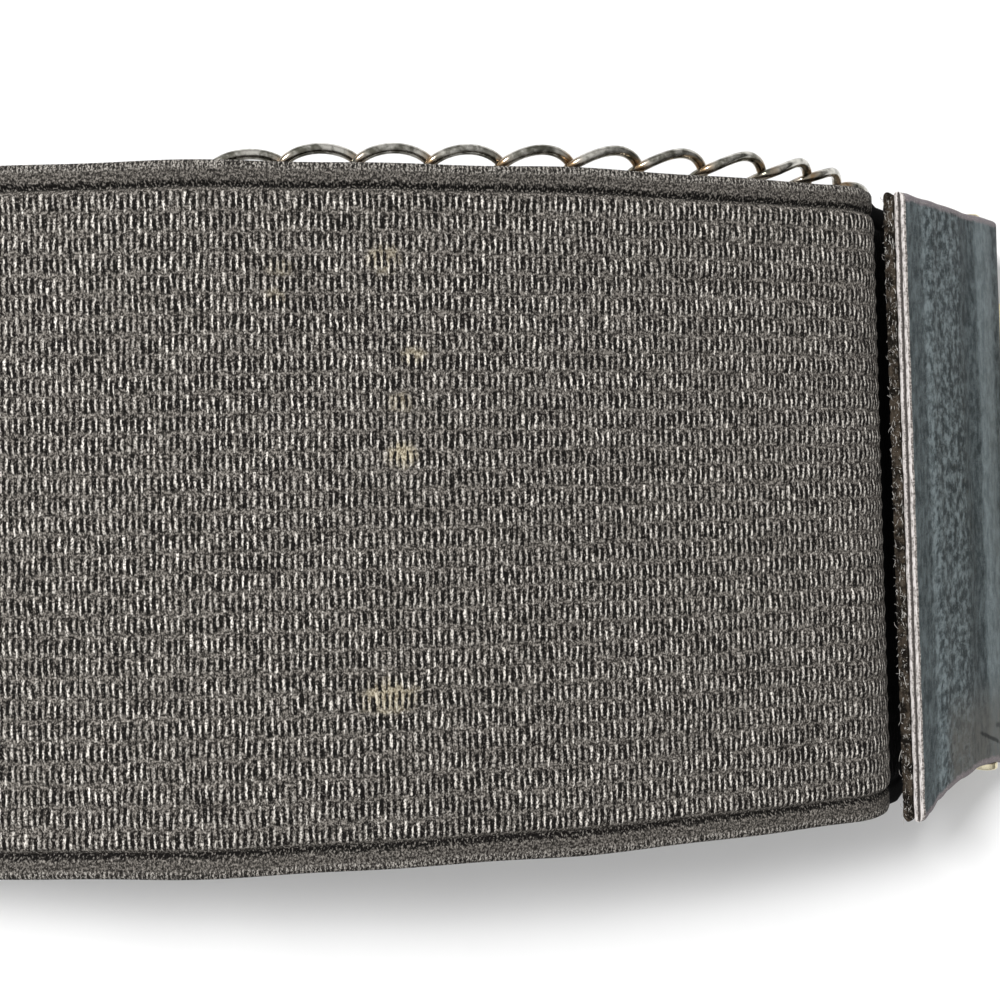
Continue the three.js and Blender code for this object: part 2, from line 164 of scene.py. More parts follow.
def on_belt(along, across, out):
    """The point in metres at distances along, across and out of the belt: the course's place plus
    across times the across axis plus out times the out axis."""
    along, across, out = np.broadcast_arrays(*(np.asarray(v, float) for v in (along, across, out)))
    place = np.stack([np.interp(along, STATIONS, PLACE[:, k]) for k in range(3)], axis=-1)
    _, side, up = axes_at(along)
    return (place + across[..., None] * side + out[..., None] * up + SHIFT) * MM


# %% [markdown]
# A tab is not quite straight: its lower side flares out at the cut edge, where the leather was
# pressed down by the seam. Two tables give how far it reaches up and down the belt.

# %% Outline of a tab, in millimetres from its cut edge and from the belt's middle
LOWER_SIDE = dict(
    along=[0, 0.6, 1.7, 4, 6, 10, 16, 19, 23, 27],
    reach=[39.2, 39.3, 38.8, 37.6, 36.8, 36.1, 35.6, 35.6, 36.3, 36.3],
)
UPPER_SIDE = dict(along=[0, 1.5, 4, 27], reach=[37.8, 38.0, 37.9, 37.8])
ENDS = ("left", "right")


def tab_sides(from_cut):
    """How far the tab reaches up and down the belt at distances from its cut edge."""
    return eased(UPPER_SIDE, "reach", from_cut), -eased(LOWER_SIDE, "reach", from_cut)


def to_belt(from_cut, is_right):
    """Distance along the belt from its left fold, for one measured from a tab's cut edge."""
    return RIGHT_CUT + from_cut if is_right else TAB_LENGTH - from_cut


# %% [markdown]
# ## The camera
# The photograph looks straight down from close above the arch, so the band fills the picture and its
# upper and lower edges draw together to the right, where the belt falls away. The lens and the height
# follow from that: the nearest webbing is a third wider in the picture than the tab's end. A longer
# lens further off would show the same arch with its edges almost parallel.

# %% Camera over the crown of the arch, in millimetres, degrees and pixels
CAMERA_FROM_CROWN = (38.2, 1.5, 114.8)
CAMERA_TURN = -1.0
FOCAL_PIXELS = 1082
IMAGE_PIXELS = 1000
SENSOR = 36.0


def linked(name, data):
    """A new object in the scene that carries a mesh, a camera or a lamp."""
    thing = bpy.data.objects.new(name, data)
    bpy.context.scene.collection.objects.link(thing)
    return thing


camera_data = bpy.data.cameras.new("camera")
camera_data.sensor_width = SENSOR
camera_data.lens = FOCAL_PIXELS * SENSOR / IMAGE_PIXELS
camera_data.clip_start = 0.005
camera_data.clip_end = 10
camera = linked("camera", camera_data)
camera.location = on_belt(CROWN, 0, 0) + np.array(CAMERA_FROM_CROWN) * MM
camera.rotation_euler = (0, 0, np.radians(CAMERA_TURN))
bpy.context.scene.camera = camera
print("Camera at", np.round(np.array(camera.location) / MM, 1), "lens", round(camera_data.lens, 2))

# %% [markdown]
# ## From arrays to meshes
# Every new piece is a grid of points: four neighbours make one face. A grid can close on itself one
# way, as a tube does, or both ways, as a ring does. Pieces could be pushed about by hand in edit mode,
# but arrays worked out from the belt's sizes can be changed later by changing one number. The helpers
# below also turn a shape right side out: a closed shape whose faces point in has a negative volume,
# so its faces are then reversed.


# %% Grids of points
def grid_corners(rows, columns, tube=False, ring=False):
    """Corner numbers of the faces between neighbouring points [i, j] of a grid. A tube also joins the
    last column to the first, and a ring the last row to the first."""
    i = np.arange(rows if ring else rows - 1)[:, None]
    j = np.arange(columns if tube else columns - 1)[None, :]
    i_next = (i + 1) % rows
    j_next = (j + 1) % columns
    corners = [i * columns + j, i * columns + j_next, i_next * columns + j_next, i_next * columns + j]
    return np.stack(np.broadcast_arrays(*corners), axis=-1).reshape(-1, 4)


def grid_map(u, v):
    """A map for a grid's faces: u for each row and v for each column, with one more value than there
    are columns where the grid closes on itself, so that the map has no jump at the seam."""
    i = np.arange(len(u) - 1)[:, None]
    j = np.arange(len(v) - 1)[None, :]
    corners = [(i, j), (i, j + 1), (i + 1, j + 1), (i + 1, j)]
    pairs = [np.stack(np.broadcast_arrays(u[a], v[b]), axis=-1) for a, b in corners]
    return np.stack(pairs, axis=2).reshape(-1, 2)


def carried(sections):
    """Faces and end caps of a closed profile carried along a path: sections[i, j] is point j of the
    profile at station i. The two end caps close it."""
    rows, columns = sections.shape[:2]
    faces = grid_corners(rows, columns, tube=True)
    first = list(range(columns))[::-1]
    last = list(range((rows - 1) * columns, rows * columns))
    return faces, (first, last)


def repeated(faces, copies, points_each):
    """The faces of many like shapes, whose points follow each other."""
    return (faces[None] + (np.arange(copies) * points_each)[:, None, None]).reshape(-1, 4)


def points_in(points, faces):
    """Whether a closed shape's faces point in: the sum over their triangles of the product
    a . (b x c), which is six times the volume, is then negative."""
    points = points - points.mean(axis=0)
    total = 0
    for k in (1, 2):
        a, b, c = points[faces[:, 0]], points[faces[:, k]], points[faces[:, k + 1]]
        total += np.einsum("ij,ij->", a, np.cross(b, c))
    return total < 0


# %% Shapes into pieces
def joined(shapes):
    """Several closed shapes as one, each turned right side out and its corner numbers moved up past
    the points of the shapes before it."""
    all_points, all_faces, all_caps, count = [], [], [], 0
    for points, faces, caps in shapes:
        points = np.asarray(points, float).reshape(-1, 3)
        order = -1 if points_in(points, faces) else 1
        all_faces.append(faces[:, ::order] + count)
        all_caps += [[corner + count for corner in cap[::order]] for cap in caps]
        all_points.append(points)
        count += len(points)
    return np.concatenate(all_points), np.concatenate(all_faces), all_caps


def make_piece(name, points, faces, caps=(), maps=None, replaces=()):
    """A piece made of four-cornered faces and of flat caps, which turns itself right side out, rides
    on the belt and takes the place of the solids that it stands for."""
    points = np.asarray(points, float).reshape(-1, 3)
    order = -1 if points_in(points, faces) else 1
    mesh = bpy.data.meshes.new(name)
    mesh.from_pydata(points.tolist(), [], faces[:, ::order].tolist() + [list(cap)[::order] for cap in caps])
    for key, corners in (maps or {}).items():
        layer = mesh.uv_layers.new(name=key, do_init=False)
        whole = np.zeros((len(mesh.loops), 2), np.float32)
        whole[: len(corners)] = corners.reshape(-1, 4, 2)[:, ::order].reshape(-1, 2)
        layer.uv.foreach_set("vector", whole.ravel())
    mesh.shade_smooth()
    piece = linked(name, mesh)
    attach(piece, "root")
    if replaces:
        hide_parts(*replaces)
    print(name, "has", len(faces), "faces", "turned right side out" if order < 0 else "")
    return piece


# %% [markdown]
# ## Small tools for materials
# A finish here is a tree of nodes. Written out one by one the nodes hide what they do, so two small
# classes make them read like sums. A value is what a node gives out, and adding, taking away or
# multiplying values adds the nodes that do it. A finish is the material that the nodes are in.


# %% A short way to write node trees
class Value:
    """What a node gives out at each point of a surface. Arithmetic on values adds more nodes."""

    def __init__(self, finish, socket):
        self.finish = finish
        self.socket = socket

    def __add__(self, other):
        return self.finish.math("ADD", self, other)

    def __sub__(self, other):
        return self.finish.math("SUBTRACT", self, other)

    def __rsub__(self, other):
        return self.finish.math("SUBTRACT", other, self)

    def __mul__(self, other):
        return self.finish.math("MULTIPLY", self, other)

    def __abs__(self):
        return self.finish.math("ABSOLUTE", self)

    def ramp(self, low, high, start=0.0, end=1.0):
        """A smooth step from start, where the value is low, to end, where it is high."""
        node = self.finish.nodes.new("ShaderNodeMapRange")
        node.interpolation_type = "SMOOTHSTEP"
        entries = {"Value": self, "From Min": low, "From Max": high, "To Min": start, "To Max": end}
        for key, entry in entries.items():
            self.finish.feed(node.inputs[key], entry)
        return Value(self.finish, node.outputs[0])


# %% The finish that the values belong to
class Finish:
    """A material's node tree. Each call adds one node and returns its value."""

    def __init__(self, name, **sockets):
        self.material = bpy.data.materials.new(name)
        self.material.use_nodes = True
        self.nodes = self.material.node_tree.nodes
        self.links = self.material.node_tree.links
        self.surface = self.nodes["Principled BSDF"]
        for socket, number in sockets.items():
            self.surface.inputs[socket.replace("_", " ")].default_value = number

    def feed(self, socket, entry):
        """Wires a value into a socket, or writes a plain number or colour there."""
        if isinstance(entry, Value):
            self.links.new(entry.socket, socket)
        elif socket.type == "RGBA":
            socket.default_value = (*entry, 1.0)
        else:
            socket.default_value = entry

    def node(self, kind, entries, **settings):
        """Adds a node with its settings and feeds its sockets, which are named or numbered."""
        node = self.nodes.new("ShaderNode" + kind)
        for key, setting in settings.items():
            setattr(node, key, setting)
        for key, entry in entries.items():
            self.feed(node.inputs[key], entry)
        return node

    def math(self, operation, *values):
        """One sum, product or other step of arithmetic, by Blender's name for it."""
        return Value(self, self.node("Math", dict(enumerate(values)), operation=operation).outputs[0])

    def stretched(self, vector, *factors):
        """A vector times one factor for each axis, which draws a pattern out along some of them."""
        node = self.node("VectorMath", {0: vector, 1: factors}, operation="MULTIPLY")
        return Value(self, node.outputs[0])

    def split(self, vector):
        """The three numbers that a vector holds."""
        return [Value(self, socket) for socket in self.node("SeparateXYZ", {0: vector}).outputs]

    def place(self):
        """The point itself, in metres on the object."""
        return Value(self, self.node("TexCoord", {}).outputs["Object"])

    def mapped(self, name):
        """The point's place on one of the piece's own maps."""
        return Value(self, self.node("UVMap", {}, uv_map=name).outputs[0])

    def attribute(self, name):
        """A number that the mesh holds for each of its points."""
        return Value(self, self.node("Attribute", {}, attribute_name=name).outputs["Fac"])

    def noise(self, vector, scale, detail=3.0, roughness=0.6):
        """Soft random patches, scale to a unit of the vector, around a value of a half."""
        entries = {"Vector": vector, "Scale": scale, "Detail": detail, "Roughness": roughness}
        return Value(self, self.node("TexNoise", entries).outputs[0])

    def chance(self, x, y):
        """A value between 0 and 1 that stays the same for the same pair of numbers."""
        pair = Value(self, self.node("CombineXYZ", {0: x, 1: y}).outputs[0])
        dice = self.node("TexWhiteNoise", {"Vector": pair}, noise_dimensions="2D")
        return Value(self, dice.outputs["Value"])

    def mix(self, share, first, second):
        """The first colour where the share is 0, the second where it is 1."""
        return Value(self, self.node("Mix", {0: share, 6: first, 7: second}, data_type="RGBA").outputs[2])

    def paint(self, colour):
        self.feed(self.surface.inputs["Base Color"], colour)

    def roughen(self, roughness):
        self.feed(self.surface.inputs["Roughness"], roughness)

    def relief(self, height, distance):
        """Bump from a height between 0 and 1 that stands for a distance in metres."""
        bump = self.node("Bump", {"Distance": distance, "Height": height, "Strength": 1.0})
        self.feed(self.surface.inputs["Normal"], Value(self, bump.outputs[0]))

    def done(self):
        """The finished material, once its size is printed."""
        print(self.material.name, "is a finish of", len(self.nodes), "nodes")
        return self.material


# %% [markdown]
# ## The woven elastic
# The webbing has rows of short yarns that cross it, with black slits between them where the rubber
# shows, and a smooth strip between one row and the next. The slits' black is partly the rubber and
# partly painted shade in their depth, and the yarns' pale colour is painted sheen on dark yarn. A row
# is about two millimetres, and the yarns stand two thirds of a millimetre apart. The rows are real
# relief in the mesh. The slits and yarns are far too many for that, so they are a pattern on a map
# that counts yarns one way and rows the other.

# %% Sizes of the webbing, in millimetres
YARN_PITCH = 0.684
SELVEDGE_WIDTH = 2.4
SELVEDGE_THICKNESS = 1.9
GROOVE_WIDTH = 0.9
GROOVE_DEPTH = 0.5
BAND_IN_TAB = 18
ROW_RELIEF = 0.07
ROW_CURVE = (15.30, -18.06, -0.448, 0.718)
GROOVE_AT = BAND_WIDTH / 2 - SELVEDGE_WIDTH - GROOVE_WIDTH / 2


def row_number(across):
    """Which row of the weave a place across the band is in, counted from the upper edge. The rows are
    a little wider apart towards the edges: a cubic in across over half the width."""
    x = np.asarray(across) / (BAND_WIDTH / 2)
    return np.polyval(ROW_CURVE[::-1], x)


def band_height(across):
    """Height of the band's face over its middle: flat, with a wave for each row, a groove beside each
    selvedge and a round edge."""
    far = np.abs(across)
    rows = ROW_RELIEF * -np.cos(2 * np.pi * row_number(across))
    inside = np.clip((GROOVE_AT - GROOVE_WIDTH / 2 - far) / 0.3, 0, 1)
    groove = GROOVE_DEPTH * np.exp(-(((far - GROOVE_AT) / (0.42 * GROOVE_WIDTH)) ** 2))
    body = np.where(far < GROOVE_AT, BAND_THICKNESS / 2, SELVEDGE_THICKNESS / 2)
    round_edge = 0.6
    past = np.clip((far - (BAND_WIDTH / 2 - round_edge)) / round_edge, 0, 1)
    return (body + rows * inside - groove) * np.sqrt(np.clip(1 - past**2, 0, 1))


# %% The band's section
def face_stops(per_row):
    """Places across one face of the band, from its upper to its lower edge: evenly spaced in rows in
    the middle, and in tenths of a millimetre at the edges."""
    fine = np.linspace(-BAND_WIDTH / 2, BAND_WIDTH / 2, 4001)
    first, last = row_number(GROOVE_AT - 0.6), row_number(-GROOVE_AT + 0.6)
    rows = np.linspace(first, last, int((last - first) * per_row))
    middle = np.interp(rows, row_number(fine[::-1]), fine[::-1])
    edge = BAND_WIDTH / 2 - np.concatenate([[0, 0.02, 0.1, 0.3], np.linspace(0.6, 3.1, 11)])
    return np.concatenate([edge, middle, -edge[::-1]])


inner_face = face_stops(6)
outer_face = face_stops(3)[::-1][1:-1]
section_across = np.concatenate([inner_face, outer_face])
section_out = np.concatenate([band_height(inner_face), -band_height(outer_face)])
print("The band's section has", len(section_across), "points")


# %% The band along its course
BAND_INSIDE_TAB = 0.8
CLOSER_FROM = 395
DIP_FROM = 530
DIP_TO = 545
EDGE_WANDER = [
    dict(height=0.12, turn=1 / 7.1, start=0),
    dict(height=0.08, turn=1 / 3.3, start=1),
]
SEAM_PINCH = dict(over=2.2, share=0.62)
BULGE = dict(at=539.5, width=2.4, height=0.2, tilt=1 / 250)


def sines(table, distance, through=0):
    """The sum of each row's height times the sine of turn times the distance plus its start. A row
    with a lean also changes through the thickness."""
    return sum(
        row["height"] * np.sin(row["turn"] * distance + row["start"] + row.get("lean", 0) * through)
        for row in table
    )


def gathered(along, across):
    """Inside a tab the band is drawn in at both edges, so that the leather covers its end: across is
    scaled by the tab's reach over the band's half width, easing in over 1.5 mm."""
    from_cut = np.maximum(TAB_LENGTH - along, along - RIGHT_CUT)
    upper, lower = tab_sides(np.clip(from_cut, 0, TAB_LENGTH))
    reach = np.where(across > 0, upper[:, None], -lower[:, None]) - BAND_INSIDE_TAB
    share = np.clip(from_cut / 1.5, 0, 1)[:, None]
    return across * (1 + (np.minimum(reach / (BAND_WIDTH / 2), 1) - 1) * share)


def elastic_band():
    """The section carried along the course, with closer stations in the part that the camera sees and
    the closest where the band dips. Near each tab the seam squeezes it to 0.38 of its thickness, its
    edges wander by a tenth or two, and it bulges by up to a third of a millimetre just before the
    right-hand seam."""
    start, end = TAB_LENGTH - BAND_IN_TAB, RIGHT_CUT + BAND_IN_TAB
    along = np.concatenate([
        np.linspace(start, CLOSER_FROM, 108, endpoint=False),
        np.linspace(CLOSER_FROM, DIP_FROM, 76, endpoint=False),
        np.linspace(DIP_FROM, DIP_TO, 40, endpoint=False),
        np.linspace(DIP_TO, end, 7),
    ])
    to_seam = np.minimum(along - TAB_LENGTH, RIGHT_CUT - along)
    near = np.clip(1 - to_seam / SEAM_PINCH["over"], 0, 1)
    squeeze = 1 - SEAM_PINCH["share"] * near**2 * (3 - 2 * near)
    reach = np.abs(section_across) / (BAND_WIDTH / 2)
    wander = sines(EDGE_WANDER, along)[:, None] * reach**6 * np.sign(section_across)
    across = gathered(along, section_across + wander)
    bulge = np.exp(-(((along - BULGE["at"]) / BULGE["width"]) ** 2))[:, None]
    out = section_out * squeeze[:, None] + bulge * (BULGE["height"] + across * BULGE["tilt"])
    points = on_belt(along[:, None], across, out)
    faces, caps = carried(points)
    closed = np.append(section_across, section_across[0])
    maps = {
        "weave": grid_map(along / YARN_PITCH, row_number(closed)),
        "place": grid_map(along, closed),
    }
    piece = make_piece("woven_elastic", points, faces, caps, maps, ["elastic_band"])
    (end - start) * MM
    return piece


band = elastic_band()

# %% [markdown]
# The yarns follow a small repeat, charted from the webbing. Across a row stand a long bright yarn in
# its upper part and a short one in its lower part, by turns, with a black slit between each yarn and
# the next, and the same columns run through all rows. No two yarns are equally bright and no two slits
# equally wide, so each gets a chance value of its own. Noise moves the chart a little everywhere,
# because no yarn lies quite straight, and breaks it up with fuzz.

# %% The weave's chart, in shares of a row and of the yarns' pitch
YARN_AT = 452.0 / YARN_PITCH
LONG_YARN = dict(span=(0.10, 0.72), half_width=0.155)
SHORT_YARN = dict(span=(0.45, 0.93), half_width=0.14)
YARN_STANDS = 0.26
DIMMEST_YARN = 0.34
SLIT = dict(span=(0.13, 0.86), narrowest=0.11, spread=0.22, stands=0.34)
DRIFT = 1.1
JITTER = 0.55
ROW_DRIFT = 0.45


def triangle(value, period):
    """Distance of a value from the nearest multiple of a period."""
    half = period / 2
    return abs(value.finish.math("FLOORED_MODULO", value + half, float(period)) - half)


def window(value, span, soft):
    """1 inside a span, fading to 0 at its ends."""
    low, high = span
    return value.ramp(low - soft, low + soft) * value.ramp(high - soft, high + soft, 1.0, 0.0)


def yarns(finish, count, row, deep, kind):
    """One set of yarns, two pitches apart: how much of a yarn shows, times its own brightness. Each
    stands a little higher or lower in its row than the next."""
    number = finish.math("ROUND", count * 0.5)
    bright = finish.chance(number, row) * (1 - DIMMEST_YARN) + DIMMEST_YARN
    deep = deep + (finish.chance(number + 0.37, row) - 0.5) * YARN_STANDS
    body = triangle(count, 2).ramp(0.5 * kind["half_width"], 1.7 * kind["half_width"], 1.0, 0.0)
    return body * window(deep, kind["span"], 0.08) * bright


def slits(finish, count, row, deep):
    """The slits between neighbouring yarns, each with a width and a height of its own."""
    number = finish.math("FLOOR", count)
    width = finish.chance(number, row) * SLIT["spread"] + SLIT["narrowest"]
    deep = deep + (finish.chance(number + 0.61, row) - 0.5) * SLIT["stands"]
    inside = (width - triangle(count - 0.5, 1)).ramp(-0.07, 0.08)
    return inside * window(deep, SLIT["span"], 0.09)


def woven_chart(finish, weave, jitter, far):
    """How much of a yarn and of a slit shows. The chart drifts slowly and jitters along the belt, and
    its rows wander. It ends at the grooves beside the two edges."""
    count, row_place, _ = finish.split(weave)
    drift = finish.noise(finish.stretched(weave, 0.30, 0.45, 0.0), 1.0, 2.0)
    row_drift = finish.noise(finish.stretched(weave, 1.3, 0.8, 0.0), 1.0, 2.0)
    count = (drift - 0.5) * DRIFT + count
    count = (jitter - 0.5) * JITTER + count - YARN_AT
    row_place = (row_drift - 0.5) * ROW_DRIFT + row_place
    row = finish.math("FLOOR", row_place)
    deep = row_place - row
    long_yarn = yarns(finish, count, row, deep, LONG_YARN)
    short_yarn = yarns(finish, count - 1.0, row, deep, SHORT_YARN)
    field = far.ramp(GROOVE_AT - 0.7, GROOVE_AT - 0.3, 1.0, 0.0)
    yarn = finish.math("MAXIMUM", long_yarn, short_yarn) * field
    return yarn, slits(finish, count, row, deep) * field


# %% [markdown]
# Something has dripped on the belt and bleached a few yarns to a pale straw colour. A stain is an oval
# whose distance is blurred by noise. The leather's dark marks are made in the same way.

# %% Stains, in millimetres along the belt and across it
STAINS = [
    dict(along=478.2, across=27.5, long=1.6, wide=1.4, strength=0.55),
    dict(along=467.3, across=26.5, long=1.4, wide=0.8, strength=0.35),
    dict(along=466.8, across=23.5, long=1.0, wide=0.8, strength=0.35),
    dict(along=481.2, across=17.1, long=1.2, wide=0.9, strength=0.6),
    dict(along=479.7, across=12.1, long=1.2, wide=0.9, strength=0.5),
    dict(along=479.8, across=6.6, long=1.5, wide=1.2, strength=1.0),
    dict(along=477.9, across=-19.3, long=2.6, wide=1.6, strength=0.85),
]
STAIN_DARK = (0.12, 0.09, 0.05)
STAIN_LIGHT = (0.78, 0.70, 0.52)


def spot_distance(along, across, spot):
    """How far a place is from a spot's middle, as a share of the spot's own half length and half
    width, turned by its angle: the square root of the sum of the two squared shares."""
    turn = np.radians(spot.get("turn", 0))
    x = along - spot["along"]
    y = across - spot["across"]
    ahead = (x * np.cos(turn) + y * np.sin(turn)) * (1 / spot["long"])
    aside = (y * np.cos(turn) - x * np.sin(turn)) * (1 / spot["wide"])
    return along.finish.math("SQRT", ahead * ahead + aside * aside)


# %% The elastic's colours, and places in millimetres from the belt's middle and along it
GROUND_DARK = (0.016, 0.014, 0.012)
GROUND_LIGHT = (0.195, 0.178, 0.158)
GROUND_SPECK = (0.43, 0.395, 0.355)
PAINTED_YARN_SHEEN = (0.88, 0.83, 0.76)
NEAR_BLACK_AND_SLIT_SHADE = (0.004, 0.0035, 0.003)
SEAM_PAINTED_SHADE = (0.002, 0.002, 0.002)
SEAM_FROM = 540.6
TICKS_FROM = 36.9
TICK_PITCH = 0.5
DARK_LINE = dict(middle=35.35, core=0.16, fade=0.608)
WEAVE_RELIEF = 0.00022


def elastic_edges(along, far, fuzz, grain, jitter):
    """Inside each edge lies a ragged dark line, broken into dots, and the very edge has small pale
    ticks with dark between them."""
    ragged = fuzz * 1.3 + (far - 0.65)
    line = abs(ragged - DARK_LINE["middle"]).ramp(DARK_LINE["core"], DARK_LINE["fade"], 1.0, 0.0)
    line = line * grain.ramp(0.48, 0.66, 1.0, 0.35)
    from_tick = triangle(jitter * 2.4 + along * (1 / TICK_PITCH), 1)
    ticks = from_tick.ramp(0.04, 0.26, 0.34, 0.0) * far.ramp(TICKS_FROM - 0.2, TICKS_FROM + 0.2)
    between = from_tick.ramp(0.26, 0.40, 0.0, 0.85) * far.ramp(TICKS_FROM, TICKS_FROM + 0.5)
    return line, ticks, between


# %% The elastic's finish
def elastic_finish():
    """The fuzzy ground, then the slits with their painted shade, the edges, the yarns' painted sheen and
    the painted shade where the band dips into the right-hand seam over it, each mixed in by how much of
    it shows, and the stains last."""
    finish = Finish("woven_elastic", Roughness=0.9, Specular_IOR_Level=0.12)
    weave = finish.mapped("weave")
    place = finish.mapped("place")
    along, across, _ = finish.split(place)
    far = abs(across)
    threads = finish.stretched(place, 1.0, 0.75, 0.0)
    fuzz = finish.noise(place, 2.2, 3.0, 0.7)
    grain = finish.noise(threads, 4.6, 1.0, 0.5)
    hatch = finish.noise(threads, 5.3, 1.0, 0.5)
    jitter = finish.noise(finish.stretched(place, 1.0, 0.5, 0.0), 3.4, 2.0)
    yarn, slit = woven_chart(finish, weave, jitter, far)
    line, ticks, between = elastic_edges(along, far, fuzz, grain, jitter)

    ground = finish.mix(fuzz.ramp(0.38, 0.60), GROUND_DARK, GROUND_LIGHT)
    ground = finish.mix(grain.ramp(0.50, 0.66, 0.0, 0.60), ground, GROUND_SPECK)
    ground = finish.mix(hatch.ramp(0.38, 0.54, 0.9, 0.0), ground, GROUND_DARK)
    # Near black for the slits: partly the rubber that shows there, partly painted shade in the deep slits.
    colour = finish.mix(slit * grain.ramp(0.56, 0.70, 0.98, 0.45), ground, NEAR_BLACK_AND_SLIT_SHADE)
    middle = DARK_LINE["middle"]
    colour = finish.mix(far.ramp(middle, middle + 1.0, 0.0, 0.30), colour, NEAR_BLACK_AND_SLIT_SHADE)
    colour = finish.mix(between, colour, NEAR_BLACK_AND_SLIT_SHADE)
    worn = hatch.ramp(0.38, 0.56) * 0.80 + 0.20
    # The yarns' pale colour is painted sheen on dark yarn, dimmed in patches by noise.
    colour = finish.mix(finish.math("MAXIMUM", yarn, ticks) * worn, colour, PAINTED_YARN_SHEEN)
    colour = finish.mix(line, colour, NEAR_BLACK_AND_SLIT_SHADE)
    # Painted shade: from 540.6 mm along, where the band dips steeply into the gap under the right-hand tab,
    # it is painted near black.
    colour = finish.mix(along.ramp(SEAM_FROM, SEAM_FROM + 0.7), colour, SEAM_PAINTED_SHADE)

    blurred = finish.noise(place, 0.9, 3.0, 0.7)
    light = finish.math("MAXIMUM", yarn, grain.ramp(0.40, 0.62, 0.1, 0.7))
    tint = finish.mix(light, STAIN_DARK, STAIN_LIGHT)
    for stain in STAINS:
        reach = blurred * 1.6 + spot_distance(along, across, stain)
        share = reach.ramp(1.3, 2.3, 0.8, 0.0) * stain["strength"]
        colour = finish.mix(share * (1.0 - slit), colour, tint)
    finish.paint(colour)
    finish.relief(fuzz * 0.25 + (yarn * 0.6 + 0.5 - slit * 0.5), WEAVE_RELIEF)
    return finish.done()


band.data.materials.append(elastic_finish())

# %% [markdown]
# ## The leather tabs
# Each tab is one strip of grain leather folded round the clasp's bar, with the band and a strip of
# rough flesh leather sewn between its two arms. The strip's own section, a flat shape with soft sides,
# is carried along a path that runs out along the outer arm, round the fold and back along the inner
# arm. Over the parts inside it the leather rises and sinks a little, in waves that run across the
# belt. The cut edge is two plies with a groove between them, so the last few stations of the path draw
# the section in to its middle and turn back into the leather. Its pale crests are partly a painted
# highlight and its groove is painted shade. A cloth simulation could fold the strip too, but a path of
# known radius keeps it just clear of the bar and of the band.

# %% Sizes of the folded wrap, in millimetres and shares of its thickness
SIDE_ROUND = 0.55
WAVES = [
    dict(middle=6.0, width=1.2, height=0.16),
    dict(middle=10.3, width=1.8, height=0.07),
    dict(middle=15.6, width=1.8, height=-0.26),
    dict(middle=19.8, width=1.6, height=0.12),
]
CUT_WANDER = [
    dict(height=0.05, turn=0.9, start=0),
    dict(height=0.04, turn=2.3, start=1),
]
RIPPLE_HEIGHT = 0.07
CUT_EDGE = dict(
    share=[0.11, 0.17, 0.36, 0.60, 0.84, 0.96],
    from_cut=[0.50, 0.12, -0.03, -0.04, 0.03, 0.14],
)
CUT_ROWS = len(CUT_EDGE["share"])
CORNER_SPREAD = 0.6
CORNER_POWER = 12


# %% The wrap's path and section
def wrap_path():
    """Distances from the cut edge, heights, outward directions and shares of the thickness along the
    strip's middle: straight along the outer arm, half a circle round the fold, and straight back
    along the inner arm, with the cut edge's few stations at both ends."""
    turn = TAB_LENGTH - FOLD_RADIUS
    radius = FOLD_RADIUS - WRAP_THICKNESS / 2
    lip = np.array(CUT_EDGE["from_cut"])
    outer = np.concatenate([lip, np.linspace(0.35, turn, 30)[:-1]])
    inner = np.concatenate([np.linspace(turn, 0.35, 74)[1:], lip[::-1]])
    angle = np.concatenate([
        np.full_like(outer, -np.pi / 2),
        np.linspace(-np.pi / 2, np.pi / 2, 25),
        np.full_like(inner, np.pi / 2),
    ])
    normal_x, normal_z = np.cos(angle), np.sin(angle)
    from_cut = np.concatenate([outer, turn + radius * normal_x[len(outer):-len(inner)], inner])
    share = np.ones_like(from_cut)
    share[:CUT_ROWS] = CUT_EDGE["share"]
    share[-CUT_ROWS:] = CUT_EDGE["share"][::-1]
    return from_cut, FOLD_MIDDLE + radius * normal_z, normal_x, normal_z, share


def strip_section(count):
    """A flat section with soft sides: across from -1 to 1 and back, and thickness from -1 to 1. The
    sides are half circles squeezed to the strip's thickness."""
    face = np.linspace(-1, 1, count)
    turn = np.linspace(-np.pi / 2, np.pi / 2, 9)[1:-1]
    across = np.concatenate([face, np.ones(7), face[::-1], -np.ones(7)])
    beyond = np.concatenate([np.zeros(count), np.cos(turn), np.zeros(count), -np.cos(turn)])
    through = np.concatenate([-np.ones(count), np.sin(turn), np.ones(count), -np.sin(turn)])
    return across, beyond, through


# %% The folded wrap
def inner_relief(from_cut, side):
    """How far the inner arm stands out: low waves, each height times exp(-((distance - middle) /
    width)^2), and a slow ripple that runs across them."""
    bent = from_cut + 0.5 * np.sin(side / 9)
    wave = sum(row["height"] * np.exp(-(((bent - row["middle"]) / row["width"]) ** 2)) for row in WAVES)
    across_waves = np.sin(side / 2.9 + from_cut / 4) * np.sin(from_cut / TAB_LENGTH * np.pi)
    return wave + RIPPLE_HEIGHT * across_waves


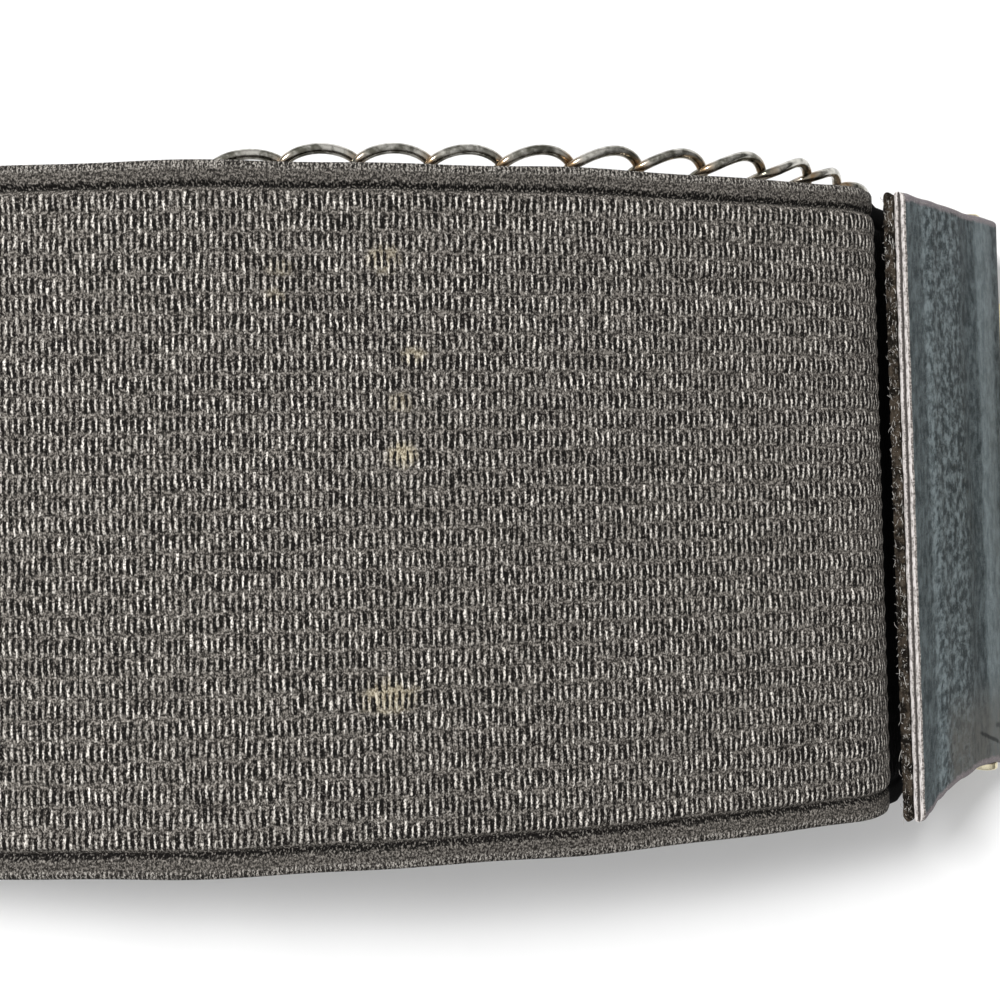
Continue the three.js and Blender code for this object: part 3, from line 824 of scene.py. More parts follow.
def tab_wrap(is_right):
    """The strip's section carried along the wrap's path. The waves of its inner arm fade towards the
    cut edge, which wanders by a tenth, and its lower ply spreads a little at both corners."""
    from_cut, height, normal_x, normal_z, share = (values[:, None] for values in wrap_path())
    across, beyond, through = strip_section(150)
    upper, lower = tab_sides(from_cut)
    side = (upper + lower) / 2 + ((upper - lower) / 2 - SIDE_ROUND) * across + SIDE_ROUND * beyond
    inner_arm = np.clip(normal_z, 0, 1)
    edge_fade = np.clip(from_cut / 3, 0, 1)
    lift = inner_relief(from_cut, side) * inner_arm * edge_fade
    offset = through * WRAP_THICKNESS / 2 * share + lift
    x = from_cut + offset * normal_x + sines(CUT_WANDER, side) * (1 - edge_fade)
    under = (1 - through * share) / 2 * np.exp(-from_cut / 2) * inner_arm
    at_corners = ((1 + across) / 2) ** CORNER_POWER - ((1 - across) / 2) ** CORNER_POWER
    side = side + under * CORNER_SPREAD * at_corners
    points = on_belt(to_belt(x, is_right), side, height + offset * normal_z)
    faces, caps = carried(points)
    run = np.append(0, np.cumsum(np.hypot(np.diff(from_cut[:, 0]), np.diff(height[:, 0]))))
    maps = {"place": grid_map(run[-1] - run, np.append(across, across[0]) * BAND_WIDTH / 2)}
    end = ENDS[is_right]
    piece = make_piece(f"{end}_leather", points, faces, caps, maps, [f"{end}_tab_wrap"])
    kinds = np.zeros(len(piece.data.polygons), np.int32)
    kinds[: CUT_ROWS * len(across)] = 1
    kinds[len(faces) - CUT_ROWS * len(across):] = 1
    return piece, kinds


wraps = [tab_wrap(is_right) for is_right in (False, True)]

# %% [markdown]
# The leather is a matt slate grey with a pale bloom. Its tone changes in bands that run across the
# belt, lighter over the raised waves and darker over the hollow and towards the fold: these bands are
# painted light and shade. Streaks run the same way near the cut edge, soft blotches lie behind them,
# and a crease and a few dark marks sit near the lower side. A painted picture could hold all this, but
# noise on the leather's own map has no seams and no repeats, and each band stays a row in a table. The
# cut edge is a second finish on the faces at the end of the path: a pale line on each ply's crest,
# partly the raw edge's colour and partly a painted highlight, and painted shade in the groove.

# %% The leather's colours, and places in millimetres from the cut edge and from the belt's middle
LEATHER_DARK = (0.020, 0.029, 0.032)
LEATHER_LIGHT = (0.200, 0.240, 0.250)
LEATHER_BLOOM = (0.30, 0.33, 0.33)
LEATHER_WORN = (0.115, 0.112, 0.100)
LEATHER_SIDE = (0.21, 0.18, 0.19)
SIDE_FIBRES = (0.45, 0.40, 0.38)
MARK_COLOUR = (0.012, 0.014, 0.014)
CUT_EDGE_RUN = 0.9
TONE_AT_CUT = 0.28
# Painted light and shade: steps in tone, lighter over the raised waves and darker over the hollow and
# towards the fold.
PAINTED_LIGHT_STEPS = [
    dict(at=3.7, over=0.3, change=0.34),
    dict(at=4.6, over=0.4, change=-0.18),
    dict(at=6.8, over=0.8, change=-0.08),
    dict(at=12.5, over=2.0, change=-0.18),
    dict(at=17.4, over=0.6, change=0.50),
    dict(at=21.6, over=0.9, change=-0.46),
]
MOTTLED = (3.6, 13.0)
WORN_BELOW = (-33.0, -25.0)
WORN_PAST = (5.0, 8.0)
MARKS = [
    dict(along=17.35, across=-34.7, long=3.2, wide=0.34, turn=-24, strength=0.85),
    dict(along=19.2, across=-33.2, long=0.6, wide=0.5, strength=0.7),
    dict(along=7.05, across=-34.2, long=0.5, wide=0.35, strength=0.6),
    dict(along=10.7, across=-34.4, long=0.5, wide=0.35, strength=0.6),
]
LEATHER_RELIEF = 0.00012


# %% The leather's finish
def leather_finish():
    """A tone between dark and light, made of streaks, blotches, clouds and pores and of a step of painted
    light and shade at each of the bands, then bloom, wear, marks and the pale sides over it."""
    finish = Finish("grain_leather", Roughness=0.62, Specular_IOR_Level=0.22)
    place = finish.mapped("place")
    along, across, _ = finish.split(place)
    along = along - CUT_EDGE_RUN
    streaks = finish.noise(finish.stretched(place, 1.5, 0.40, 0.0), 1.0, 4.0, 0.65)
    blotches = finish.noise(finish.stretched(place, 1.0, 0.75, 0.0), 1.0, 4.0, 0.7)
    clouds = finish.noise(place, 0.22, 3.0, 0.6)
    pores = finish.noise(place, 5.0, 4.0, 0.75)
    spread = window(along, MOTTLED, 1.2) * 0.75 + 0.25
    tone = streaks.ramp(0.36, 0.64, -0.16, 0.16) + TONE_AT_CUT
    tone = blotches.ramp(0.40, 0.66, -0.32, 0.54) * spread + tone
    tone = clouds.ramp(0.35, 0.65, -0.08, 0.08) + tone
    tone = pores.ramp(0.35, 0.65, -0.13, 0.13) + tone
    # Painted light and shade, band by band.
    for step in PAINTED_LIGHT_STEPS:
        tone = tone + along.ramp(step["at"] - step["over"], step["at"] + step["over"], 0.0, step["change"])

    colour = finish.mix(tone, LEATHER_DARK, LEATHER_LIGHT)
    colour = finish.mix(pores.ramp(0.60, 0.74, 0.0, 0.45), colour, LEATHER_BLOOM)
    worn = across.ramp(*WORN_BELOW, 1.0, 0.0) * along.ramp(*WORN_PAST) * streaks.ramp(0.3, 0.6, 0.35, 0.8)
    colour = finish.mix(worn, colour, LEATHER_WORN)
    for mark in MARKS:
        reach = streaks * 1.8 + spot_distance(along, across, mark)
        colour = finish.mix(reach.ramp(1.3, 2.1, mark["strength"], 0.0), colour, MARK_COLOUR)
    side = finish.mix(pores.ramp(0.5, 0.66), LEATHER_SIDE, SIDE_FIBRES)
    at_side = (blotches * 1.2 + abs(across)).ramp(37.9, 38.4)
    finish.paint(finish.mix(at_side * 0.85, colour, side))
    finish.roughen(pores.ramp(0.3, 0.7, 0.52, 0.72))
    finish.relief(blotches * 1.2 + pores, LEATHER_RELIEF)
    return finish.done()


# %% The finish of the cut edge
EDGE_COLOUR = (0.12, 0.105, 0.097)
EDGE_SPECKS = (0.42, 0.39, 0.365)
PALE_CREST_AND_HIGHLIGHT = (0.68, 0.64, 0.62)
GROOVE_PAINTED_SHADE = (0.05, 0.043, 0.04)
PLY_CREST = 0.56
PLY_GROOVE = (0.34, 0.48)
EDGE_RELIEF = 0.00008


def cut_edge_finish():
    """Brown fibres with a pale line along the crest of each ply, partly the raw edge's colour and partly
    a painted highlight, and painted shade in the groove between them. Its map runs through the leather,
    and its noise is in metres on the object itself."""
    finish = Finish("leather_cut_edge", Roughness=0.8, Specular_IOR_Level=0.2)
    through, _, _ = finish.split(finish.mapped("place"))
    place = finish.place()
    fibres = finish.noise(finish.stretched(place, 1.0, 0.22, 1.0), 4600.0, 2.0, 0.6)
    specks = finish.noise(place, 4200.0, 1.0, 0.5)
    colour = finish.mix(specks.ramp(0.40, 0.60), EDGE_COLOUR, EDGE_SPECKS)
    # A pale line on each ply's crest: partly the raw edge's colour, partly a painted highlight.
    crest = abs(through - PLY_CREST).ramp(0.03, 0.10, 1.0, 0.0) * fibres.ramp(0.40, 0.60, 0.20, 1.0)
    colour = finish.mix(crest, colour, PALE_CREST_AND_HIGHLIGHT)
    # Painted shade in the groove between the two plies.
    finish.paint(finish.mix(through.ramp(*PLY_GROOVE, 0.85, 0.0), colour, GROOVE_PAINTED_SHADE))
    finish.relief(specks, EDGE_RELIEF)
    return finish.done()


leather = leather_finish()
cut_edge = cut_edge_finish()
for wrap, kinds in wraps:
    wrap.data.materials.append(leather)
    wrap.data.materials.append(cut_edge)
    wrap.data.polygons.foreach_set("material_index", kinds)

# %% [markdown]
# Under the grain leather lies a strip of split leather, flesh side out. Its end shows as a dark brown
# rough line with pale fibres standing out of it. Bump can make a surface look rough but never its
# outline, so the line's raggedness is a sum of sines in the mesh, and the fibres are real strands:
# short curved tubes that start on the end and lean at random.

# %% The flesh split
SPLIT_SHORTER = 7.5
SPLIT_END = dict(share=[0.15, 0.5, 0.8, 0.95], from_cut=[-0.10, -0.10, -0.04, 0.06])
SPLIT_RAGGED = [
    dict(height=0.10, turn=3.1, start=0, lean=1.3),
    dict(height=0.08, turn=7.3, start=1, lean=-1.3),
    dict(height=0.06, turn=13.7, start=2, lean=0),
]


def tab_split(is_right):
    """A flat strip under the wrap's inner arm with a rounded end, each point of which stands out by a
    small sum of sines. It is widest at its end."""
    length = TAB_LENGTH - SPLIT_SHORTER
    across, beyond, through = strip_section(220)
    from_cut = np.concatenate([SPLIT_END["from_cut"], [0.2, 0.4], np.linspace(0.7, length, 22)])
    share = np.append(SPLIT_END["share"], np.ones(24))
    inside = np.clip(from_cut, 0, None)
    upper, lower = tab_sides(inside)
    spread = 0.8 * np.exp(-inside / 2) - 0.25
    middle, half = (upper + lower) / 2, (upper - lower) / 2 - SIDE_ROUND + spread
    side = middle[:, None] + half[:, None] * across + SIDE_ROUND * beyond
    near = np.exp(-inside / 0.5)[:, None]
    x = from_cut[:, None] + (sines(SPLIT_RAGGED, side, through) - 0.1) * near
    height = (SPLIT_BOTTOM + SPLIT_TOP) / 2 + through * SPLIT_THICKNESS / 2 * share[:, None]
    points = on_belt(to_belt(x, is_right), side, height)
    faces, caps = carried(points)
    end = ENDS[is_right]
    return make_piece(f"{end}_flesh_split", points, faces, caps, None, [f"{end}_tab_split"])


splits = [tab_split(is_right) for is_right in (False, True)]


# %% The flesh split's finish
def flesh_finish():
    """Dark brown patches with pale fibres, both noise in metres on the object itself."""
    finish = Finish("flesh_split", Roughness=0.95, Specular_IOR_Level=0.15)
    place = finish.place()
    fibres = finish.noise(place, 3200.0, 4.0, 0.8)
    patches = finish.noise(place, 700.0, 3.0, 0.6)
    colour = finish.mix(patches.ramp(0.38, 0.66), (0.008, 0.006, 0.004), (0.075, 0.058, 0.042))
    finish.paint(finish.mix(fibres.ramp(0.56, 0.70), colour, (0.30, 0.27, 0.23)))
    finish.relief(fibres, 0.0003)
    return finish.done()


flesh = flesh_finish()
for split in splits:
    split.data.materials.append(flesh)

# %% Fibres on the end of the flesh split
FIBRE_COUNT = 900
FIBRE_STEPS = 6
FIBRE_LENGTH = (0.3, 0.9)
FIBRE_RADIUS = (0.015, 0.05)


def strands(paths, radius, sides=3):
    """Thin tubes along many paths at once: paths[k, i] is point i of strand k. The tube's circle
    stands square to the path and shrinks to a third at both ends."""
    count, steps = paths.shape[:2]
    ahead = np.gradient(paths, axis=1)
    ahead /= np.linalg.norm(ahead, axis=2, keepdims=True)
    first = np.cross(ahead, (0.31, 0.42, 0.85))
    first /= np.linalg.norm(first, axis=2, keepdims=True)
    second = np.cross(ahead, first)
    angle = np.linspace(0, 2 * np.pi, sides, endpoint=False)
    taper = 1 - 0.67 * np.abs(np.linspace(-1, 1, steps)) ** 4
    circle = first[:, :, None] * np.cos(angle)[:, None] + second[:, :, None] * np.sin(angle)[:, None]
    points = paths[:, :, None] + circle * (np.asarray(radius)[:, None] * taper)[:, :, None, None]
    faces = repeated(grid_corners(steps, sides, tube=True), count, steps * sides)
    return points.reshape(-1, 3), faces[:, ::-1]


def flesh_fibres(is_right, seed):
    """Each fibre starts at a random place on the split's end and runs out of it and aside along a
    parabola, over three to nine tenths of a millimetre and about half as far straight out."""
    chance = np.random.default_rng(seed)
    side = chance.uniform(-39.4, 37.9, FIBRE_COUNT)
    height = chance.uniform(SPLIT_BOTTOM + 0.05, SPLIT_TOP - 0.05, FIBRE_COUNT)
    length = chance.uniform(*FIBRE_LENGTH, FIBRE_COUNT)
    lean = chance.uniform(-1.5, 1.5, FIBRE_COUNT)
    curl = chance.normal(0, 0.8, FIBRE_COUNT)
    rise = chance.normal(0.1, 0.45, FIBRE_COUNT)
    t = np.linspace(0, 1, FIBRE_STEPS)[None, :] * length[:, None]
    from_cut = 0.02 - t * np.cos(lean)[:, None] * 0.55
    across = side[:, None] + t * np.sin(lean)[:, None] + curl[:, None] * t**2
    out = np.clip(height[:, None] + rise[:, None] * t, SPLIT_BOTTOM - 0.2, SPLIT_TOP + 0.1)
    paths = on_belt(to_belt(from_cut, is_right), across, out)
    points, faces = strands(paths, chance.uniform(*FIBRE_RADIUS, FIBRE_COUNT) * MM)
    return make_piece(f"{ENDS[is_right]}_split_fibres", points, faces)


def fibre_finish():
    """Fibres that run from brown to near white, by patches of about a millimetre."""
    finish = Finish("flesh_fibres", Roughness=0.8, Specular_IOR_Level=0.2)
    shade = finish.noise(finish.place(), 900.0)
    finish.paint(finish.mix(shade, (0.16, 0.14, 0.12), (0.92, 0.90, 0.86)))
    return finish.done()


pale_fibres = fibre_finish()
for is_right, seed in ((False, 3), (True, 4)):
    flesh_fibres(is_right, seed).data.materials.append(pale_fibres)

# %% [markdown]
# ## The curb chain
# A curb link is an oval ring of wire whose two long sides leave the flat in opposite senses, so that a
# row of them lies flat, each link over one side of the next and under the other. Copies along a curve
# would all be alike, and here the links roll and twist more towards the right, where the chain stands
# out past the band. So one formula gives the ring, and the links are all placed at once: a frame of
# three axes for each link times the one ring.

# %% Sizes of the chain, in millimetres and degrees
WIRE_RADIUS = 0.575
LINK_HALF_LENGTH = 4.67
LINK_HALF_WIDTH = 2.93
UPPER_TWIST = 0.62
LOWER_TWIST = 0.8
LINK_PITCH = 7.9
STUD_PAST_LINK = 2
LEFT_STUD = 17
RIGHT_STUD = TOTAL - 15.5
CHAIN_COURSE = dict(
    along=[17, 34, 60, 330, 416, 452, 470, 488, 505, 520, 532, 541, 554.5],
    side=[27, 28.5, 30, 30, 32, 35, 37.3, 37.6, 38.4, 38.8, 39.1, 39.6, 33.6],
    roll=[0, 0, 0, 0, 6, 10, 14, 26, 46, 52, 54, 46, 12],
    twist=[1, 1, 1, 1, 1, 1, 1, 1.15, 1.4, 1.5, 1.5, 1.3, 1],
)
CHAIN_UNDER = dict(along=[17, 34, 60, 520, 554.5], depth=[4.95, 4, 2.95, 2.95, 4.95])
CHAIN_LEAVES = 525.7


def chain_line(along):
    """The chain's middle line: on the belt's outer face, up its width by side and under it by depth.
    Past the place where it leaves the band it runs straight to the right-hand stud."""
    side = eased(CHAIN_COURSE, "side", along)
    on_band = on_belt(along, side, -eased(CHAIN_UNDER, "depth", along))
    ends = np.array([CHAIN_LEAVES, RIGHT_STUD])
    first, last = on_belt(ends, 0, -eased(CHAIN_UNDER, "depth", ends))
    share = (along - CHAIN_LEAVES) / (RIGHT_STUD - CHAIN_LEAVES)
    _, across, _ = axes_at(along)
    straight = first + (last - first) * share[:, None] + across * side[:, None] * MM
    return np.where((along <= CHAIN_LEAVES)[:, None], on_band, straight)


def link_stops():
    """Distances along the belt at which the links sit, one pitch apart along the chain's own line."""
    walked = np.arange(LEFT_STUD, RIGHT_STUD + 0.01, 0.25)
    lengths = np.linalg.norm(np.diff(chain_line(walked), axis=0), axis=1) / MM
    run = np.concatenate([[0], np.cumsum(lengths)])
    usable = run[-1] - 2 * STUD_PAST_LINK
    count = round(usable / LINK_PITCH)
    return np.interp(STUD_PAST_LINK + usable * np.arange(count + 1) / count, run, walked)


# %% The links
LINK_STEPS = 40
WIRE_STEPS = 12
CROSSING_WIDTH = 0.16


def curb_ring():
    """One link in millimetres: the ellipse (a cos t, b sin t) with a round wire about it, the lift -sin
    2t times a twist that its wire has, and how near its points are to a crossing with a neighbour."""
    angle = np.linspace(0, 2 * np.pi, LINK_STEPS, endpoint=False)[:, None]
    wire = np.linspace(0, 2 * np.pi, WIRE_STEPS, endpoint=False)[None, :]
    normal = np.stack([np.cos(angle) / LINK_HALF_LENGTH, np.sin(angle) / LINK_HALF_WIDTH])
    normal = normal / np.linalg.norm(normal, axis=0)
    outward = WIRE_RADIUS * np.cos(wire)
    twist = np.where(np.sin(angle) > 0, UPPER_TWIST, LOWER_TWIST)
    x = LINK_HALF_LENGTH * np.cos(angle) + outward * normal[0]
    y = LINK_HALF_WIDTH * np.sin(angle) + outward * normal[1]
    z = WIRE_RADIUS * np.sin(wire)
    lift = -twist * np.sin(2 * angle)
    past = np.abs(np.cos(angle)) - LINK_PITCH / 2 / LINK_HALF_LENGTH
    x, y, z, lift, crossing = np.broadcast_arrays(x, y, z, lift, np.exp(-((past / CROSSING_WIDTH) ** 2)))
    return np.stack([x, y, z], axis=-1), lift, crossing


def link_axes(stops, middles):
    """Each link's forward, across and out axes. A link points from its neighbour to the next, and is
    rolled about the chain's own line."""
    ends = np.concatenate([middles[:1], middles, middles[-1:]])
    ahead = ends[2:] - ends[:-2]
    ahead /= np.linalg.norm(ahead, axis=1, keepdims=True)
    _, _, out = axes_at(stops)
    across = np.cross(out, ahead)
    across /= np.linalg.norm(across, axis=1, keepdims=True)
    out = np.cross(ahead, across)
    roll = np.radians(eased(CHAIN_COURSE, "roll", stops))[:, None]
    return ahead, across * np.cos(roll) + out * np.sin(roll), out * np.cos(roll) - across * np.sin(roll)


def curb_chain():
    """All links at once: each link's middle plus its ring times the link's axes. The hard-pulled
    links at the right are twisted more."""
    stops = link_stops()
    ring, lift, crossing = curb_ring()
    middles = chain_line(stops)
    axes = np.stack(link_axes(stops, middles), axis=1)
    points = middles[:, None, None, :] + np.einsum("ijk,lkm->lijm", ring * MM, axes)
    amount = eased(CHAIN_COURSE, "twist", stops) * MM
    points += np.einsum("l,ij,lm->lijm", amount, lift, axes[:, 2])
    faces = repeated(grid_corners(LINK_STEPS, WIRE_STEPS, tube=True, ring=True), len(stops), lift.size)
    piece = make_piece("curb_chain_links", points, faces, replaces=["curb_chain"])
    wear = piece.data.attributes.new("crossing", "FLOAT", "POINT")
    wear.data.foreach_set("value", np.tile(crossing.ravel(), len(stops)).astype(np.float32))
    print(len(stops), "links")
    return piece


chain = curb_chain()


# %% The chain's finish
BARE_WIRE = (0.62, 0.60, 0.55)
DULL_WIRE = (0.13, 0.125, 0.10)
CROSSING_REFLECTION_BROWN = (0.24, 0.15, 0.07)


def chain_finish():
    """Bright wire that is dull in patches, with a painted golden brown reflection where two links cross."""
    finish = Finish("chain_metal", Metallic=1.0, Roughness=0.28)
    tarnish = finish.noise(finish.place(), 700.0, 3.0, 0.6)
    # A painted reflection: golden brown where two links cross.
    crossing_reflection = finish.attribute("crossing") * tarnish.ramp(0.35, 0.6)
    colour = finish.mix(tarnish.ramp(0.35, 0.65), DULL_WIRE, BARE_WIRE)
    finish.paint(finish.mix(crossing_reflection, colour, CROSSING_REFLECTION_BROWN))
    finish.roughen(tarnish.ramp(0.3, 0.7, 0.10, 0.26))
    return finish.done()


chain.data.materials.append(chain_finish())

# %% [markdown]
# ## The studs and the clasp
# A stud is a turned shape: a profile of radii and heights carried round its axis. A clasp half is a
# flat plate with two ears that hold the bar in the tab's fold. Plates and ears are convex outlines, so
# their rounded edges are a stack of rings, each set in from the outline by a quarter circle. A bevel
# would do the same on the outline, but the rings close the slot of the eye as well, with no boolean.
# The hook adds a tongue bent back on itself, and the eye has a slot for that tongue.

# %% The studs, as radii at depths under the tab's outer face
STUD = dict(
    radius=[0.2, 2.7, 2.93, 3.0, 2.93, 2.7, 1.3, 1.06, 1.0, 1.0,
            1.06, 1.3, 2.7, 2.93, 3.0, 2.93, 2.75, 2.2, 1.2, 0.2],
    under=[0, 0, 0.06, 0.2, 0.34, 0.4, 0.4, 0.45, 0.6, 3.2,
           3.35, 3.4, 3.4, 3.46, 3.62, 3.8, 3.92, 4.03, 4.09, 4.1],
)
STUD_SIDES = 48


def chain_stud(is_right):
    """The profile turned about the stud's axis: r cos t along the belt, r sin t across it, and its
    depth under the tab's outer face."""
    along = RIGHT_STUD if is_right else LEFT_STUD
    side = eased(CHAIN_COURSE, "side", along)
    angle = np.linspace(0, 2 * np.pi, STUD_SIDES, endpoint=False)[None, :]
    radius, under = (np.array(STUD[key])[:, None] for key in ("radius", "under"))
    out = OUTER_ARM - WRAP_THICKNESS - GAP - under
    points = on_belt(along + radius * np.cos(angle), side + radius * np.sin(angle), out)
    faces, caps = carried(points)
    end = ENDS[is_right]
    return make_piece(f"{end}_turned_stud", points, faces, caps, None, [f"{end}_chain_stud"])


studs = [chain_stud(is_right) for is_right in (False, True)]

# %% Sizes of the clasp, in millimetres from its bar
BAR_RADIUS = 1.2
EAR_THICKNESS = 1.1
EAR_RADIUS = 1.8
PLATE_THICKNESS = 1.6
PLATE_BACK = -3
PLATE_FRONT = 24
PLATE_WAIST = 3.8
PLATE_END = 27
PLATE_CORNER = 6
TONGUE_WIDTH = 24
TONGUE_GAP = 2.2
TONGUE_REACH = 7
SLOT_MIDDLE = 17
SLOT_LENGTH = 6
SLOT_WIDTH = 27
EDGE_ROUND = 0.3
TAB_LOWER_AT_BAR = 36.2


# %% Rings round convex outlines
def convex_ring(corners, centre, angles, inset):
    """Points round a convex outline, one in each direction u from a centre. A side with outward
    normal n and distance c is met at (c - inset) / (n . u), and the nearest side counts."""
    corners = np.asarray(corners, float) - centre
    sides = np.roll(corners, -1, axis=0) - corners
    normal = np.stack([sides[:, 1], -sides[:, 0]], axis=1)
    normal /= np.linalg.norm(normal, axis=1, keepdims=True)
    distance = np.einsum("ij,ij->i", normal, corners)
    direction = np.stack([np.cos(angles), np.sin(angles)], axis=1)
    facing = direction @ normal.T
    reach = np.where(facing > 1e-6, (distance - inset) / np.maximum(facing, 1e-6), np.inf).min(axis=1)
    return centre + direction * reach[:, None]


def ring_stack(outline, centre, angles, insets, heights):
    """Rings in x and y round one outline, one for each inset and height."""
    rings = [convex_ring(outline, centre, angles, inset) for inset in insets]
    return np.stack([np.column_stack([ring, np.full(len(ring), z)]) for ring, z in zip(rings, heights)])


def edge_levels(thickness):
    """Insets and heights of a slab's rings: a quarter circle at each face, and one ring further in."""
    angle = np.linspace(0, np.pi / 2, 5)
    inset = EDGE_ROUND * np.append(2.2, 1 - np.sin(angle))
    height = EDGE_ROUND * np.append(0, 1 - np.cos(angle))
    return np.append(inset, inset[::-1]), np.append(height, thickness - height[::-1])


def directions(corners, centre):
    """Evenly spaced directions from a centre together with those of the outline's corners."""
    x, y = (np.asarray(corners, float) - centre).T
    even = np.linspace(-np.pi, np.pi, 96, endpoint=False)
    return np.unique(np.round(np.append(even, np.arctan2(y, x)), 5))


def slab(corners, thickness):
    """A convex plate with rounded edges: rings in x and y, stacked in z."""
    centre = np.mean(corners, axis=0)
    points = ring_stack(corners, centre, directions(corners, centre), *edge_levels(thickness))
    return points, *carried(points)


def slotted_slab(corners, slot, thickness):
    """A convex plate with a convex slot: the outline's rings going up, the slot's rings coming down,
    and the last joined to the first."""
    centre = np.mean(slot, axis=0)
    angles = np.unique(np.append(directions(corners, centre), directions(slot, centre)))
    insets, heights = edge_levels(thickness)
    outer = ring_stack(corners, centre, angles, insets, heights)
    inner = ring_stack(slot, centre, angles, -insets[::-1], heights[::-1])
    points = np.concatenate([outer, inner])
    return points, grid_corners(*points.shape[:2], tube=True, ring=True), ()


# %% The parts of a clasp half, in millimetres from its bar
def plate_outline(upper, lower):
    """The plate from above: full width behind the bar, narrowing to an end with round corners, each
    a curve (1 - t)^2 a + 2 t (1 - t) b + t^2 c."""
    t = np.linspace(0, 1, 7)[:, None]
    b = np.array([PLATE_FRONT, -PLATE_END])
    corner = (1 - t) ** 2 * (b - (PLATE_CORNER, 0)) + 2 * t * (1 - t) * b + t**2 * (b + (0, PLATE_CORNER))
    start = [[PLATE_BACK, -lower], [PLATE_WAIST, -lower]]
    end = [[PLATE_WAIST, upper], [PLATE_BACK, upper]]
    return np.concatenate([start, corner, corner[::-1] * (1, -1), end])


def ear(side, inward):
    """A lug from the plate up round the bar's end: its outline stands in x and z, and its thickness
    runs inward from the given side."""
    turn = np.linspace(0, np.pi, 13)
    arc = np.stack([EAR_RADIUS * np.cos(turn), BAR_HEIGHT + EAR_RADIUS * np.sin(turn)], axis=1)
    foot = [[-EAR_RADIUS, PLATE_THICKNESS / 2], [EAR_RADIUS, PLATE_THICKNESS / 2]]
    points, faces, caps = slab(np.concatenate([foot, arc]), EAR_THICKNESS)
    points = np.stack([points[..., 0], side + inward * points[..., 2], points[..., 1]], axis=-1)
    return points, faces, caps


def bar(upper, lower):
    """The bar that the tab folds round, a plain round rod from ear to ear."""
    angle = np.linspace(0, 2 * np.pi, 24, endpoint=False)
    x, z = BAR_RADIUS * np.cos(angle), BAR_HEIGHT + BAR_RADIUS * np.sin(angle)
    points = np.stack([np.column_stack([x, np.full(24, y), z]) for y in (-lower, upper)])
    return points, *carried(points)


def tongue():
    """A strip as thick as the plate that leaves its end, turns half a circle up and runs back. Its
    section is a rounded slab's end: width times thickness with the corners cut."""
    rise = TONGUE_GAP / 2 + PLATE_THICKNESS / 2
    turn_at = PLATE_FRONT + TONGUE_GAP
    back = turn_at - TONGUE_REACH
    angle = np.concatenate([[-np.pi / 2], np.linspace(-np.pi / 2, np.pi / 2, 25), [np.pi / 2] * 3])
    normal_x, normal_z = np.cos(angle)[:, None], np.sin(angle)[:, None]
    x = turn_at + rise * normal_x
    x[0] = PLATE_FRONT - 1
    x[-3:, 0] = back + 0.3, back + 0.08, back
    z = rise * (1 + normal_z) + PLATE_THICKNESS / 2
    shrink = np.zeros_like(x)
    shrink[-3:, 0] = 0, 0.09, 0.3
    half, thick, cut = TONGUE_WIDTH / 2, PLATE_THICKNESS / 2, EDGE_ROUND
    side = np.array([-half + cut, half - cut, half - 0.3 * cut, half, half, half - 0.3 * cut])
    through = np.array([-thick, -thick, -thick + 0.3 * cut, -thick + cut, thick - cut, thick - 0.3 * cut])
    side, through = np.append(side, -side), np.append(through, -through)
    across = side - np.sign(side) * shrink
    offset = through - np.sign(through) * shrink
    points = np.stack([x + offset * normal_x, across, z + offset * normal_z], axis=-1)
    return points, *carried(points)


# %% The clasp halves
def clasp_half(is_right):
    """The half's shapes in its own axes, x away from the belt, turned to the belt's heading and moved
    so that its bar lies in the middle of the fold and its plate on the surface."""
    edges = (TAB_UPPER, TAB_LOWER_AT_BAR) if is_right else (TAB_LOWER_AT_BAR, TAB_UPPER)
    upper, lower = (edge + GAP + EAR_THICKNESS for edge in edges)
    outline = plate_outline(upper, lower)
    if is_right:
        shapes = [slab(outline, PLATE_THICKNESS), tongue()]
    else:
        x, y = SLOT_LENGTH / 2, SLOT_WIDTH / 2
        slot = np.array([[-x, -y], [x, -y], [x, y], [-x, y]]) + (SLOT_MIDDLE, 0)
        shapes = [slotted_slab(outline, slot, PLATE_THICKNESS)]
    shapes += [ear(upper, -1), ear(-lower, 1), bar(upper - EAR_THICKNESS, lower - EAR_THICKNESS)]
    points, faces, caps = joined(shapes)
    along = TOTAL - FOLD_RADIUS if is_right else FOLD_RADIUS
    middle = on_belt(along, 0, FOLD_MIDDLE)
    heading = np.interp(along, STATIONS, HEADING) + (0 if is_right else np.pi)
    x = points[:, 0] * np.cos(heading) - points[:, 1] * np.sin(heading)
    y = points[:, 0] * np.sin(heading) + points[:, 1] * np.cos(heading)
    placed = np.column_stack([x, y, points[:, 2]]) * MM + (middle[0], middle[1], 0)
    kind = "hook" if is_right else "eye"
    node = f"{ENDS[is_right]}_clasp_{kind}"
    return make_piece(f"clasp_{kind}_half", placed, faces, caps, None, [node])


clasps = [clasp_half(is_right) for is_right in (False, True)]


# %% Pale gold plate
BRASS_DEEP = (0.72, 0.62, 0.38)
BRASS_PALE = (0.86, 0.79, 0.58)


def brass_finish():
    """Pale gold that clouds a little, with fine changes in how sharply it mirrors."""
    finish = Finish("clasp_metal", Metallic=1.0, Roughness=0.25)
    place = finish.place()
    cloud = finish.noise(place, 90.0, 3.0, 0.6)
    fine = finish.noise(place, 1500.0, 2.0, 0.6)
    finish.paint(finish.mix(cloud.ramp(0.35, 0.7), BRASS_DEEP, BRASS_PALE))
    finish.roughen(fine.ramp(0.3, 0.7, 0.18, 0.34))
    return finish.done()


brass = brass_finish()
for piece in studs + clasps:
    piece.data.materials.append(brass)

# %% [markdown]
# ## The floor and the light
# The photograph has a plain white ground, lit softly from beyond the belt's upper edge, so the shade
# falls just below its lower edge. A pale floor, one soft lamp and a white sky give that. A white
# background alone would be as bright, but no shade could fall on it.

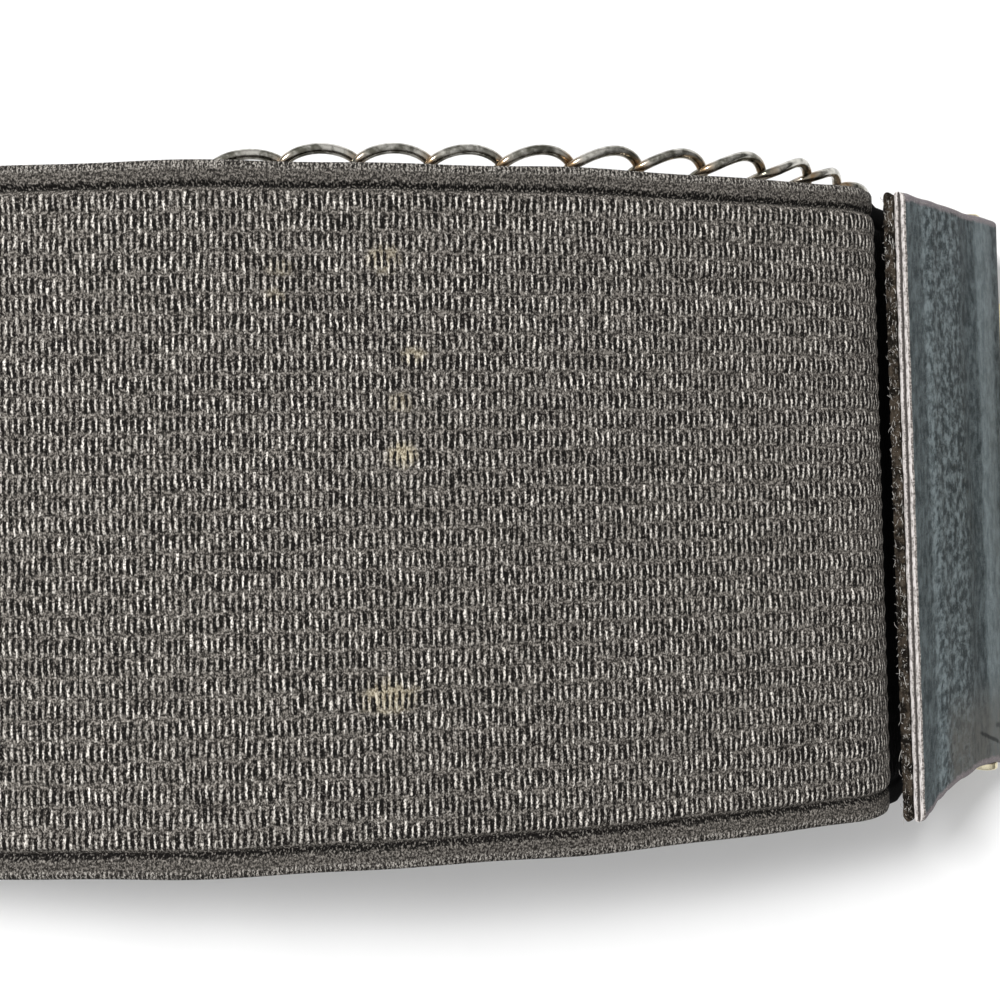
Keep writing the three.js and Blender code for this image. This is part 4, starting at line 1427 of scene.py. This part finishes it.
# %% Floor
FLOOR_REACH = 1.5
FLOOR_DROP = 0.00005
FLOOR_CORNERS = ((-1, -1), (1, -1), (1, 1), (-1, 1))
floor_points = [(x * FLOOR_REACH, y * FLOOR_REACH, -FLOOR_DROP) for x, y in FLOOR_CORNERS]
floor_mesh = bpy.data.meshes.new("floor")
floor_mesh.from_pydata(floor_points, [], [(0, 1, 2, 3)])
floor = linked("floor", floor_mesh)
floor_finish = Finish("pale_floor", Roughness=0.9)
grit = floor_finish.noise(floor_finish.place(), 60.0)
floor_finish.paint(floor_finish.mix(grit, (0.86, 0.86, 0.86), (0.90, 0.90, 0.90)))
floor_mesh.materials.append(floor_finish.done())

# %% [markdown]
# The sky is bright overhead and dark near the horizon, so that bright metal gets dark outlines. The
# lamp stands above the belt's upper left and is small enough to leave a soft band of shade below the
# arch and to the right of it.

# %% Sky
SKY_TOWARDS = (-0.15, 0.25, 0.955)
SKY_DARK = dict(at=-0.05, strength=0.12)
SKY_BRIGHT = dict(at=0.9, strength=0.86)
world = bpy.data.worlds.new("sky")
world.use_nodes = True
sky_nodes, sky_links = world.node_tree.nodes, world.node_tree.links
direction = sky_nodes.new("ShaderNodeTexCoord")
towards = sky_nodes.new("ShaderNodeVectorMath")
towards.operation = "DOT_PRODUCT"
towards.inputs[1].default_value = SKY_TOWARDS
strength = sky_nodes.new("ShaderNodeMapRange")
for end, level in (("Min", SKY_DARK), ("Max", SKY_BRIGHT)):
    strength.inputs["From " + end].default_value = level["at"]
    strength.inputs["To " + end].default_value = level["strength"]
background = sky_nodes["Background"]
background.inputs["Color"].default_value = (1, 1, 1, 1)
sky_links.new(direction.outputs["Generated"], towards.inputs[0])
sky_links.new(towards.outputs["Value"], strength.inputs["Value"])
sky_links.new(strength.outputs["Result"], background.inputs["Strength"])
bpy.context.scene.world = world

# %% Lamp
LAMP_ENERGY = 9.3
LAMP_SIZE = 0.2
LAMP_PLACE = (-0.268, 0.361, 0.828)
LAMP_AIM = (0.2, 0.0, 0.02)
lamp_data = bpy.data.lights.new("lamp", "AREA")
lamp_data.energy = LAMP_ENERGY
lamp_data.size = LAMP_SIZE
lamp = linked("lamp", lamp_data)
lamp.location = LAMP_PLACE
aim = np.subtract(LAMP_AIM, LAMP_PLACE)
tilt = float(np.arctan2(np.hypot(aim[0], aim[1]), -aim[2]))
lamp.rotation_euler = (tilt, 0, float(np.arctan2(aim[1], aim[0]) - np.pi / 2))
bpy.context.scene.view_settings.view_transform = "Standard"
